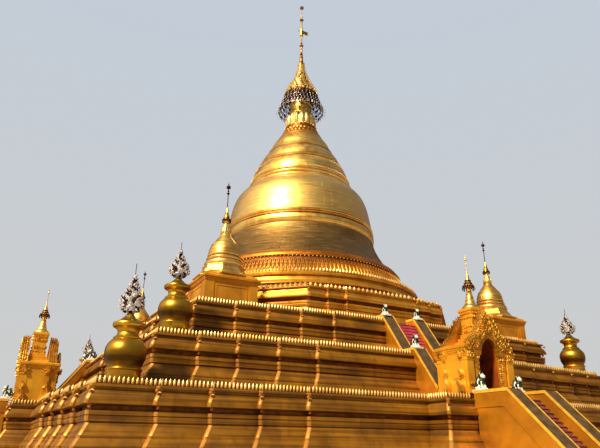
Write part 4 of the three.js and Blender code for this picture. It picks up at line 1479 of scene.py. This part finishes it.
# %% Flowers
SPRAY_OUTLINE = ((0.16, 0.0), (0.48, 0.12), (0.62, 0.32), (0.6, 0.55), (0.48, 0.8), (0.37, 1.05),
                 (0.29, 1.3), (0.2, 1.6), (0.12, 1.9), (0.04, 2.3))
SPRAY_HEIGHTS = {"low": 2.75, "high": 2.35}
SPRAY_TIERS, TIER_RISE = 18, 0.115
TIN_PITCH = 0.27


def tin_leaf():
    """A bent leaf of sheet metal that springs from the origin towards the front."""
    bm = bmesh.new()
    bmesh.ops.create_grid(bm, x_segments=3, y_segments=4, size=0.5)
    for corner in bm.verts:
        side, rise = corner.co.x * 2, corner.co.y + 0.5
        half = 0.16 * (math.sin(math.pi * min(1, 0.2 + rise * 0.8)) ** 0.6 + 0.02)
        corner.co = (side * half * 0.85, 0.06 - 0.12 * rise ** 3 + 0.05 * abs(side), 0.38 * rise)
    bmesh.ops.solidify(bm, geom=bm.faces[:], thickness=0.012)
    return small_mesh(bm, "tin_leaf")


def flower_spray(foot, height):
    """A spray of leaves in tiers round a stem: its silver leaves and its brown ones."""
    silver, brown = bmesh.new(), bmesh.new()
    leaf, rosette = tin_leaf(), boss_mesh(0.06)
    rod(brown, (0, 0, foot), (0, 0, foot + height), 0.022)
    share = height / SPRAY_HEIGHTS["low"]
    for i in range(SPRAY_TIERS):
        rise = 0.02 + TIER_RISE * i
        girth = radius_at(SPRAY_OUTLINE, rise)
        size = Matrix.Scale(0.5 + 0.6 * girth, 4)
        count = max(3, round(math.tau * girth / TIN_PITCH))
        level = foot + share * (rise - 0.06)
        for k in range(count):
            turn = (k + 0.5 * (i % 2) + random.uniform(-0.2, 0.2)) * math.tau / count
            spot = Matrix.Rotation(turn, 4, "Z") @ Matrix.Translation((0, -girth, level))
            lean = Matrix.Rotation(random.uniform(-0.25, 0.25), 4, "X")
            set_copies(brown if (2 * i + k) % 5 in (0, 3) else silver, leaf, [spot @ lean @ size])
            if k % 2:
                set_copies(silver, rosette, [spot @ Matrix.Translation((0, -0.03, 0.1)) @ size])
    return silver, brown


for tier, (distance, floor) in POT_SPOTS.items():
    silver, brown = flower_spray(floor + LID_TOP, SPRAY_HEIGHTS[tier])
    moves = corner_moves(distance)
    copies_of(f"spray_{tier}", silver, moves, SHEET_SILVER, "silver_sheet", f"flower_{tier}", merge=False)
    copies_of(f"spray_stem_{tier}", brown, moves, DARK_IRON_AND_SHADE, "silver_sheet", merge=False)

# %% [markdown]
# ## Stairs
#
# Each side has a lower flight up to the gateway and two upper flights behind it. They are solid
# masonry: a block of steps between two broad rail walls. The outline is drawn in side view, as
# distance from the middle and height, and pushed sideways. The steps are a separate outline, with
# the tread of each step standing out a little over its riser.

# %% Flights
RISE = 0.25
RAIL_INSIDE, RAIL_OUTSIDE = 1.0, 2.0


def steps_between(foot, head, nose=0.03):
    """Points of a flight from its foot to its head, each as distance and height."""
    count = round((head[1] - foot[1]) / RISE)
    going, rise = (foot[0] - head[0]) / count, (head[1] - foot[1]) / count
    points = []
    for i in range(count):
        d, z = foot[0] - i * going, foot[1] + i * rise
        points += [(d, z), (d, z + rise - 0.05), (d + nose, z + rise - 0.04), (d + nose, z + rise)]
    return points


def lifted(path, out, up):
    """A side-view path moved outwards and up."""
    return [(d + out, z + up) for d, z in path]


def path_slab(bm, path, depth, left, right):
    """A strip that follows a side-view path from left to right, with its underside below it."""
    below = [(d, z - depth) for d, z in reversed(path)]
    side_slab(bm, [*path, *below], left, right)


def draped(bm, path, left, right, thickness):
    """A thin sheet that lies on a side-view path, such as a runner on steps."""
    corners = [bm.verts.new((left, -d, z)) for d, z in path]
    edges = [bm.edges.new(pair) for pair in zip(corners, corners[1:])]
    grown = bmesh.ops.extrude_edge_only(bm, edges=edges)["geom"]
    moved = [g for g in grown if isinstance(g, bmesh.types.BMVert)]
    bmesh.ops.translate(bm, vec=(right - left, 0, 0), verts=moved)
    faces = [g for g in grown if isinstance(g, bmesh.types.BMFace)]
    bmesh.ops.recalc_face_normals(bm, faces=faces)
    bmesh.ops.solidify(bm, geom=faces, thickness=thickness)


def both_sides(inner, outer):
    """The left and right limits of a strip on either side of the stair."""
    return (-outer, -inner), (inner, outer)


LOWER_FLIGHT = [*steps_between((32.15, 0), (27.95, FLOOR_1)), (25.3, FLOOR_1)]
UPPER_FLIGHTS = [*steps_between((22.8, FLOOR_1), (20.4, 7.5)), *steps_between((19.15, 7.5), (17.3, FLOOR_3)),
                 (16.45, FLOOR_3)]
LOWER_RAIL = [(33.2, 0.5), (32.7, 0.5), (28.5, 4.65), (26.0, 4.65)]
UPPER_RAIL = [(22.88, 5.15), (20.83, 7.95), (19.54, 7.95), (17.35, 10.92), (16.45, 10.92)]
RAIL_BAND, TRIM = 0.93, 0.05

# %% Lower stairs
body = bmesh.new()
side_slab(body, [*LOWER_FLIGHT, (25.32, 0)], -1.1, 1.1)
block(body, (-RAIL_OUTSIDE, -26.1, 0), (RAIL_OUTSIDE, -25.32, 4.14))
for left, right in both_sides(RAIL_INSIDE, RAIL_OUTSIDE):
    side_slab(body, [(33.2, 0), *LOWER_RAIL, (26.0, 0)], left, right)
for left, right in both_sides(RAIL_OUTSIDE, RAIL_OUTSIDE + TRIM):
    side_slab(body, [(33.24, 0), (33.24, 0.2), (26.0, 0.2), (26.0, 0)], left, right)
    side_slab(body, [(33.2, 0.24), *LOWER_RAIL, (26.0, 3.75), (28.1, 3.75), (31.6, 0.24)], left, right)
copies_of("lower_stair_body", body, QUARTERS, STAIR_PAINT, "stair_plaster", "lower_stair")

# %% Upper stairs
body = bmesh.new()
notch = [(16.45, FLOOR_2), (19.8, FLOOR_2)]
side_slab(body, [(19.8, FLOOR_1), *UPPER_FLIGHTS, *notch], -1.1, 1.1)
for left, right in both_sides(RAIL_INSIDE, RAIL_OUTSIDE):
    side_slab(body, [(22.88, FLOOR_1), *UPPER_RAIL, *notch, (19.8, FLOOR_1)], left, right)
for left, right in both_sides(RAIL_OUTSIDE, RAIL_OUTSIDE + TRIM):
    path_slab(body, UPPER_RAIL, RAIL_BAND, left, right)
    side_slab(body, [(22.88, FLOOR_1), (22.88, 4.4), (19.8, 4.4), (19.8, FLOOR_1)], left, right)
copies_of("upper_stair_body", body, QUARTERS, STAIR_PAINT, "stair_plaster", "upper_stair")

# %% [markdown]
# ## Coping, lines and runner
#
# The rails are capped with flat cement slabs, and a painted yellow line runs along each edge. On
# the steps lies a red runner. It is a thin sheet that follows every tread and riser: the flight's
# outline is extruded sideways into a sheet, which then gets its thickness.

# %% Coping
coping, lines = bmesh.new(), bmesh.new()
for rail in (LOWER_RAIL, UPPER_RAIL):
    for left, right in both_sides(RAIL_INSIDE - 0.04, RAIL_OUTSIDE + 0.07):
        path_slab(coping, lifted(rail, 0.01, 0.05), 0.13, left, right)
    for x in (RAIL_INSIDE - 0.05, RAIL_OUTSIDE - 0.01):
        for left, right in both_sides(x, x + 0.09):
            path_slab(lines, lifted(rail, 0.02, 0.07), 0.17, left, right)
copies_of("rail_coping", coping, QUARTERS, COPING_CEMENT, "grey_coping")
copies_of("rail_lines", lines, QUARTERS, LINE_PAINT, "stair_plaster")

# %% Runner
# The lower runner's darker red is painted shade.
for name, flight, half, finish in (
    ("lower_runner", [*LOWER_FLIGHT[:-1], (26.2, FLOOR_1)], 0.86, SHADED_RED_CARPET),
    ("upper_runner", [*UPPER_FLIGHTS[:-1], (16.6, FLOOR_3)], 0.97, ROSE_CARPET),
):
    runner = bmesh.new()
    draped(runner, lifted(flight, 0.03, 0.03), -half, half, 0.02)
    copies_of(name, runner, QUARTERS, finish, "red_carpet", merge=False)

# %% [markdown]
# ## Lions
#
# Pairs of seated lions guard the stairs, six on each side. Each one is cast and painted white,
# with bottle green locks on its mane, chest and back. A sculptor would build the figure from
# egg-shaped masses first: haunches, chest, head and muzzle, with legs like short columns. From the
# ground only those masses and the two paints can be told apart.

# %% Lions
LION_SPOTS = ((25.82, 4.72, 1.22), (20.1, 8.02, 1.15), (16.8, 10.99, 1.05))
LION_SIDE = 1.55


def lion_body():
    """The white parts of a seated lion, its rump at the origin, looking to the front."""
    bm = bmesh.new()
    block(bm, (-0.28, -0.7, -0.06), (0.28, 0.06, 0.05))
    round_mass(bm, (0, -0.24, 0.36), (0.15, 0.17, 0.28), -0.15)
    round_mass(bm, (0, -0.36, 0.44), (0.14, 0.13, 0.2))
    round_mass(bm, (0, -0.42, 0.69), (0.12, 0.13, 0.12))
    round_mass(bm, (0, -0.53, 0.66), (0.075, 0.08, 0.06))
    round_mass(bm, (0, -0.52, 0.6), (0.06, 0.07, 0.025))
    for side in (-1, 1):
        round_mass(bm, (side * 0.13, -0.18, 0.2), (0.09, 0.18, 0.16))
        round_mass(bm, (side * 0.17, -0.36, 0.08), (0.055, 0.13, 0.05))
        rod(bm, (side * 0.09, -0.4, 0.44), (side * 0.09, -0.48, 0.08), 0.055, 8)
        round_mass(bm, (side * 0.09, -0.53, 0.08), (0.06, 0.1, 0.045))
        round_mass(bm, (side * 0.1, -0.38, 0.8), (0.03, 0.025, 0.05))
    return small_mesh(bm, "lion_body")


def lion_mane():
    """The green parts of a lion: locks on its head, chest, back and haunches, and its tail."""
    bm = bmesh.new()
    for k in range(9):
        angle = math.pi * (k / 8 * 1.5 - 0.25)
        spot = (0.14 * math.cos(angle), -0.36, 0.68 + 0.13 * math.sin(angle))
        round_mass(bm, spot, (0.055, 0.075, 0.06), detail=1)
    round_mass(bm, (0, -0.17, 0.42), (0.13, 0.13, 0.28), -0.2)
    round_mass(bm, (0, -0.4, 0.5), (0.15, 0.12, 0.12))
    for z, y, wide in ((0.52, -0.47, 0.09), (0.44, -0.49, 0.11), (0.36, -0.48, 0.1)):
        for k in (-1, 0, 1):
            round_mass(bm, (k * wide * 0.8, y, z), (0.045, 0.03, 0.05), detail=1)
    for side in (-1, 1):
        round_mass(bm, (side * 0.19, -0.16, 0.26), (0.05, 0.15, 0.12), detail=1)
        round_mass(bm, (side * 0.15, -0.34, 0.38), (0.045, 0.09, 0.13), detail=1)
        round_mass(bm, (side * 0.09, -0.44, 0.3), (0.055, 0.06, 0.12), detail=1)
        round_mass(bm, (side * 0.05, -0.545, 0.71), (0.026, 0.024, 0.022), detail=1)
        round_mass(bm, (side * 0.02, -0.61, 0.67), (0.018, 0.012, 0.012), detail=1)
    rod(bm, (0, 0, 0.1), (0, 0.03, 0.36), 0.03, 6)
    round_mass(bm, (0, 0.02, 0.42), (0.045, 0.05, 0.09))
    return small_mesh(bm, "lion_mane")


lion_places = [Matrix.Translation((side * LION_SIDE, -d, z)) @ Matrix.Scale(size, 4)
               for d, z, size in LION_SPOTS for side in (-1, 1)]
for name, part, finish in (("lions", lion_body(), LION_WHITE), ("lion_manes", lion_mane(), LION_GREEN)):
    pride = set_copies(bmesh.new(), part, lion_places)
    copies_of(name, pride, QUARTERS, finish, "white_figures", merge=False)

# %% [markdown]
# ## Gateways
#
# A gateway stands where the lower stair meets the first terrace. Behind the arch is a passage to
# the upper stairs. Corner pilasters and a cornice frame the block. Two thick pediments like flames
# stand over its front and its rear, and a square tower with a small spire rises between them.

# %% Arch and flame outlines
FLAME_FLANK = ((1.0, 0), (1.07, 0.05), (1.08, 0.11), (0.94, 0.2), (0.74, 0.3), (0.56, 0.42), (0.43, 0.52),
               (0.32, 0.63), (0.22, 0.74), (0.14, 0.83), (0.08, 0.9))
GATE_EAVES = 7.4
GATE_BACK, GATE_REAR, GATE_FRONT = 22.9, 23.5, 25.4
GATE_AXIS = 24.5
PEDIMENT_DISTANCES, ARCH_DISTANCES = (25.2, 23.7), (25.45, 22.92)
OPENING_HALF, SPRING, CROWN = 0.82, 6.7, 8.06


def flame(half, eaves, tip):
    """The outline of a flame pediment from its left foot over its tip to its right foot."""
    left = [(-half * x, eaves + (tip - eaves) * z) for x, z in FLAME_FLANK]
    return [*left, (0, tip), *[(-x, z) for x, z in reversed(left)]]


def pointed_arch(half, base, spring, crown, steps=8):
    """The path of a pointed arch from its left foot over its crown to its right foot."""
    left = [(-half, base)]
    for k in range(steps):
        angle = math.pi / 2 * k / steps
        rise = 0.75 * math.sin(angle) + 0.25 * k / steps
        left.append((-half * math.cos(angle), spring + (crown - spring) * rise))
    return [*left, (0, crown), *[(-x, z) for x, z in reversed(left)]]


def arched_slab(bm, outer, inner, near, far):
    """A slab between an outer path and an arch, both open at their feet."""
    front_slab(bm, [*outer, *reversed(inner)], near, far)


def along_path(path, pitch, wander=0.0):
    """Places along a path in front view, each standing square on it, or a little askew."""
    places = []
    for start, end in zip(path, path[1:]):
        run = Vector(end) - Vector(start)
        count = max(1, round(run.length / pitch))
        for k in range(count):
            spot = Vector(start) + run * (k + 0.5) / count
            angle = -math.atan2(run.y, run.x) + random.uniform(-wander, wander)
            places.append(Matrix.Translation((spot.x, 0, spot.y)) @ Matrix.Rotation(angle, 4, "Y"))
    return places


# %% [markdown]
# ## Scrolls
#
# The plaster ornament of the gateways is one motif, a leaf that curls over like a wave. It was
# modelled in wet plaster by hand, so no two are quite alike. Here one scroll is cut from an
# outline, and its copies differ in size, turn and hand.

# %% Scroll leaf
SCROLL_OUTLINE = ((-0.4, 0.0), (0.42, 0.0), (0.5, 0.34), (0.4, 0.66), (0.1, 0.9), (-0.34, 1.0), (-0.2, 0.78),
                  (0.02, 0.62), (0.02, 0.42), (-0.22, 0.3))


def scroll_leaf(width, height, thickness):
    """A curling leaf that stands on the origin, its raised spine towards the front."""
    bm, face = cut_plate([(x * width, z * height) for x, z in SCROLL_OUTLINE], thickness)
    bmesh.ops.inset_region(bm, faces=[face], thickness=width * 0.12, depth=thickness * 0.5,
                           use_even_offset=True)
    return small_mesh(bm, "scroll_leaf")


SCROLL_SMALL = scroll_leaf(0.15, 0.22, 0.07)
SCROLL_TALL = scroll_leaf(0.2, 0.36, 0.1)
SCROLL_GREAT = scroll_leaf(0.42, 0.72, 0.16)
FLIP = Matrix.Diagonal((-1, 1, 1, 1))


def scrolls(bm, source, path, pitch, y, size=1.0, wander=0.35):
    """Scrolls along a path, which curl towards its middle on both sides."""
    for place in along_path(path, pitch, wander):
        scale = Matrix.Scale(size * random.uniform(0.85, 1.2), 4)
        hand = FLIP if place.translation.x < 0 else Matrix.Identity(4)
        set_copies(bm, source, [Matrix.Translation((0, y, 0)) @ place @ scale @ hand])


# %% [markdown]
# ## One pediment
#
# The pediment is drawn once, facing the front, and set over the front and the rear of the
# gateway. Its thickness is a stack of boards that are in turn a little larger and smaller, which
# gives the ribbed flank. Scrolls cover its face and stand along every large board.

# %% Pediment
EAVES, TIP, PEDIMENT_HALF = 7.15, 9.9, 1.75
BOARDS = ((1.0, 0.0, 0.12), (0.95, 0.12, 0.17), (1.0, 0.17, 0.28), (0.95, 0.28, 0.33), (1.0, 0.33, 0.44),
          (0.95, 0.44, 0.48), (0.97, 0.48, 0.54))
ARCH_IN_BOARD = pointed_arch(OPENING_HALF, SPRING + 0.2, SPRING, CROWN)[2:-2]


def scaled_flame(share, drop=0.0):
    """The pediment's outline, made smaller by a share and lowered."""
    return [(x * share, EAVES + (z - EAVES) * share - drop) for x, z in flame(PEDIMENT_HALF, EAVES, TIP)]


def pediment_boards():
    """The stack of boards; the rear face of the last one is at y = 0."""
    bm = bmesh.new()
    for share, near, far in BOARDS:
        outline = scaled_flame(share)
        arched_slab(bm, [(outline[0][0], 7.1), *outline, (outline[-1][0], 7.1)], ARCH_IN_BOARD, near, far)
    return bm


def clear_of_arch(path):
    """The points of a path that lie outside the opening."""
    return [(x, z) for x, z in path if z > 8.22 or abs(x) > 0.94]


def curled(x, y, z, angle, size=1.0):
    """A place in front view, turned by an angle and scaled."""
    return Matrix.Translation((x, y, z)) @ Matrix.Rotation(angle, 4, "Y") @ Matrix.Scale(size, 4)


def pediment_scrolls():
    """The scrolls on the face and the edges of a pediment, and the curls at its feet."""
    bm = bmesh.new()
    for share, near, _ in BOARDS[::2]:
        scrolls(bm, SCROLL_SMALL, scaled_flame(share, 0.04), 0.15, -near - 0.02, 0.65, 0.3)
    for share, source in ((0.86, SCROLL_TALL), (0.74, SCROLL_SMALL), (0.62, SCROLL_TALL),
                          (0.5, SCROLL_SMALL)):
        left = clear_of_arch([(x, z) for x, z in scaled_flame(share, 0.04) if z > 7.2 and x <= 0])
        for path in (left, [(-x, z) for x, z in reversed(left)]):
            scrolls(bm, source, path, 0.13, -0.52, 0.95)
    for hand in (FLIP, Matrix.Identity(4)):
        for x, z, angle, size in ((1.6, 6.98, 1.25, 0.9), (1.5, 7.3, 0.6, 0.6)):
            set_copies(bm, SCROLL_GREAT, [hand @ curled(x, y, z, angle, size) for y in (-0.04, -0.36)])
    for z, size in ((9.3, 1.0), (8.9, 1.2), (8.5, 1.4)):
        set_copies(bm, SCROLL_SMALL, [curled(0, -0.56, z, angle, size) for angle in (-0.7, 0.7)])
    return bm


# %% [markdown]
# ## Pilasters and cornice
#
# Pilasters carry base and capital mouldings like small terraces, so the same course helper draws
# them. The cornice stops at the arch on both sides, because the arch rises through it.

# %% Gateway walls
PILASTER = ((0.1, 0), (0.1, 0.2), (0.06, 0.25), (0.06, 0.36), (0.02, 0.4), (0.02, 0.46), (0, 0.48))
CAPITAL = ((0, -0.5), (0.03, -0.48), (0.03, -0.4), (0, -0.38), (0, -0.28), (0.05, -0.22), (0.07, -0.12),
           (0.1, -0.1), (0.1, 0))
HALF_PLAN = [(-2, -GATE_FRONT), (-1.95, -GATE_FRONT), (-1.95, -25.5), (-1.02, -25.5), (-1.02, -GATE_BACK),
             (-1.9, -GATE_BACK), (-1.9, -GATE_REAR), (-2, -GATE_REAR)]
CORNICE = ((0, 7.02), (0.03, 7.06), (0.03, 7.12), (0.07, 7.15), (0.07, 7.22), (0.11, 7.25), (0.11, 7.34),
           (0.16, 7.37), (0.17, 7.5), (0.1, 7.53), (0.02, 7.6), (-0.2, 7.62))
PLINTH = ((0.14, FLOOR_1), (0.14, 4.36), (0.1, 4.42), (0.1, 4.54), (0.04, 4.62), (0, 4.66))
PIERS = (((-1.97, -25.68), (-1.45, -25.3)), ((-1.28, -25.6), (-1.0, -25.45)),
         ((-2.03, -25.45), (-1.8, -25.05)), ((-2.03, -23.85), (-1.8, -23.47)),
         ((-1.93, -23.2), (-1.7, -22.9)))
TOWER = ((0.55, 7.5), (0.55, 7.72), (0.4, 7.76), (0.4, 7.96), (0.24, 8.0), (0.24, 8.2), (0.1, 8.24),
         (0.1, 8.44), (0.04, 8.5), (0, 8.56), (0, 9.5), (0.03, 9.53), (0.03, 9.6), (0, 9.62), (0, 9.78),
         (0.06, 9.84), (0.08, 9.96), (0.13, 9.98), (0.13, 10.12), (0.1, 10.16), (0.04, 10.18), (0, 10.2))
OPENING = pointed_arch(OPENING_HALF, FLOOR_1, SPRING, CROWN)


def add_raised(bm, plan, courses):
    """Adds a plan that is carried up through courses."""
    add_part(bm, raised(plan, courses))


def pier(bm, low, high, foot=4.6, head=7.08):
    """A pilaster between two corners in plan, with its mouldings."""
    (x0, y0), (x1, y1) = low, high
    courses = [(out, foot + z) for out, z in PILASTER] + [(out, head + z) for out, z in CAPITAL]
    add_raised(bm, [(x0, y0), (x1, y0), (x1, y1), (x0, y1)], courses)


def mirrored_both(bm):
    """Adds the mirror image of everything about the middle plane of the gateway."""
    bmesh.ops.mirror(bm, geom=bm.verts[:] + bm.edges[:] + bm.faces[:], axis="X", merge_dist=0)


def gateway_walls():
    """The block with its pilasters, plinth, cornice and tower."""
    bm = bmesh.new()
    for courses in (PLINTH, CORNICE):
        add_raised(bm, HALF_PLAN, courses)
    for low, high in PIERS:
        pier(bm, low, high)
    mirrored_both(bm)
    for half, near, far in ((2, GATE_REAR, GATE_FRONT), (1.9, GATE_BACK, GATE_REAR),
                            (1.5, GATE_FRONT, 25.47)):
        core = [(-half, FLOOR_1), (-half, GATE_EAVES), (0, 8.3), (half, GATE_EAVES), (half, FLOOR_1)]
        arched_slab(bm, core, OPENING, near, far)
    vault = bmesh.new()
    front_slab(vault, pointed_arch(OPENING_HALF + 0.02, FLOOR_1, SPRING, CROWN + 0.02), 22, 26)
    add_part(bm, carved(raised(square_plan(0.5, GATE_AXIS), TOWER), vault))
    return bm


copies_of("gateway_walls", gateway_walls(), QUARTERS, GATE_GOLD, "gilded_plaster", "gateway")

# %% Passage
lining = bmesh.new()
outer = pointed_arch(OPENING_HALF + 0.03, FLOOR_1, SPRING, CROWN + 0.03)
inner = pointed_arch(OPENING_HALF - 0.02, FLOOR_1, SPRING, CROWN - 0.03)
arched_slab(lining, outer, inner, GATE_BACK + 0.04, GATE_FRONT + 0.02)
copies_of("passage_lining", lining, QUARTERS, PASSAGE_PAINT, "gilded_plaster")

# %% [markdown]
# ## Setting the pediments
#
# Moulded rings frame the arch on the front and the rear, and scrolls stand round them in rows.
# The scrolls get a finish of their own, bright gilding with strong dark streaks.

# %% Pediments
def facing_both_ways(front, rear):
    """A place that faces the front and one that faces the rear, at their distances."""
    about = Matrix.Rotation(math.pi, 4, "Z")
    return [Matrix.Translation((0, -front, 0)), Matrix.Translation((0, -rear, 0)) @ about]


MAIN_SPOTS, ARCH_SPOTS = facing_both_ways(*PEDIMENT_DISTANCES), facing_both_ways(*ARCH_DISTANCES)
boards = bmesh.new()
set_copies(boards, small_mesh(pediment_boards(), "pediment_boards"), MAIN_SPOTS)
for out, front in ((0.0, 0.06), (0.16, 0.1), (0.34, 0.06)):
    ring = bmesh.new()
    outer, inner = (pointed_arch(half + out, FLOOR_1 + 0.5, SPRING, top + out * 1.2)
                    for half, top in ((0.91, 8.17), (OPENING_HALF, CROWN)))
    arched_slab(ring, outer, inner, 0.0, front)
    set_copies(boards, small_mesh(ring, "archivolt"), ARCH_SPOTS)
copies_of("gateway_pediments", boards, QUARTERS, UPPER_GOLD, "gilded_plaster", merge=False)

# %% Gateway scrolls
ornament = bmesh.new()
set_copies(ornament, small_mesh(pediment_scrolls(), "pediment_scrolls"), MAIN_SPOTS)
frame_scrolls = bmesh.new()
for half, crown, source, low in ((0.88, 8.1, SCROLL_SMALL, 4.8), (1.04, 8.3, SCROLL_TALL, 6.1),
                                 (1.24, 8.52, SCROLL_SMALL, 6.5)):
    scrolls(frame_scrolls, source, pointed_arch(half, low, SPRING, crown), 0.14, -0.06, 0.9, 0.3)
for x, z, wide, y in ((1.7, 6.95, 0.3, -0.24), (1.7, 6.75, 0.3, -0.24), (1.05, 6.9, 0.2, -0.16),
                      (1.05, 6.72, 0.2, -0.16), (1.7, 5.1, 0.26, -0.24), (1.05, 4.95, 0.2, -0.16)):
    for middle in (-x, x):
        scrolls(frame_scrolls, SCROLL_SMALL, [(middle - wide, z), (middle + wide, z)], 0.13, y, 0.9, 0.4)
set_copies(ornament, small_mesh(frame_scrolls, "frame_scrolls"), ARCH_SPOTS)
for side in (-1, 1):
    for d, lean in zip(PEDIMENT_DISTANCES, (-0.3, 0.3)):
        for z, size in ((4.6, 1.5), (5.6, 0.8), (6.72, 0.8)):
            spot = Matrix.Translation((side * 2.02, -d, z)) @ Matrix.Rotation(side * math.pi / 2, 4, "Z")
            set_copies(ornament, SCROLL_GREAT, [spot @ curled(0, 0, 0, lean, size)])
for k in range(4):
    face = Matrix.Translation((0, -GATE_AXIS, 0)) @ Matrix.Rotation(k * math.pi / 2, 4, "Z")
    row = bmesh.new()
    for z, pitch in ((9.5, 0.14), (9.78, 0.14), (8.5, 0.16), (8.9, 0.2)):
        scrolls(row, SCROLL_SMALL, [(-0.48, z), (0.48, z)], pitch, -0.5, 0.8, 0.3)
    set_copies(ornament, small_mesh(row, "tower_scrolls"), [face])
copies_of("gateway_scrolls", ornament, QUARTERS, SCROLL_GOLD, "gilded_plaster", merge=False)

# %% Gateway spires
spire = [
    (0.56, 10.18), (0.58, 10.22), (0.56, 10.3), *bulge((0.54, 10.32), (0.3, 10.7), -0.05, 6), (0.32, 10.74),
    (0.27, 10.8), *bulge((0.26, 10.84), (0.21, 11.1), 0.02, 4), (0.19, 11.14), (0.22, 11.18), (0.18, 11.24),
    (0.17, 11.44), (0.2, 11.48), (0.16, 11.54), (0.16, 11.66), (0.34, 11.74), (0.34, 11.82), (0.24, 11.9),
    (0.24, 11.98), (0.17, 12.08), (0.18, 12.16), (0.12, 12.3), (0.12, 12.36), (0.06, 12.6), (0.03, 12.9),
    (0.022, 13.5), *bulge((0.022, 13.56), (0.022, 13.76), 0.06, 6), (0.01, 14),
]
spike = turned(closed(spire), 20)
bmesh.ops.translate(spike, vec=(0, -GATE_AXIS, 0), verts=spike.verts)
copies_of("gateway_spires", spike, QUARTERS, TURNED_GOLD, "gold_leaf", "gateway_spire")
pendants = bmesh.new()
hung_leaves = small_mesh(leaf_plate(0.13, 0.2, 0.025), "hung_leaf")
for radius, height, count in ((0.37, 11.8, 14), (0.42, 11.66, 12), (0.26, 11.98, 12), (0.19, 12.16, 10)):
    set_copies(pendants, hung_leaves, [m @ HUNG for m in ring_places(radius, height, count, -0.15)])
bmesh.ops.translate(pendants, vec=(0, -GATE_AXIS, 0), verts=pendants.verts)
copies_of("gateway_pendants", pendants, QUARTERS, DARK_IRON_AND_SHADE, "gilded_metal", merge=False)
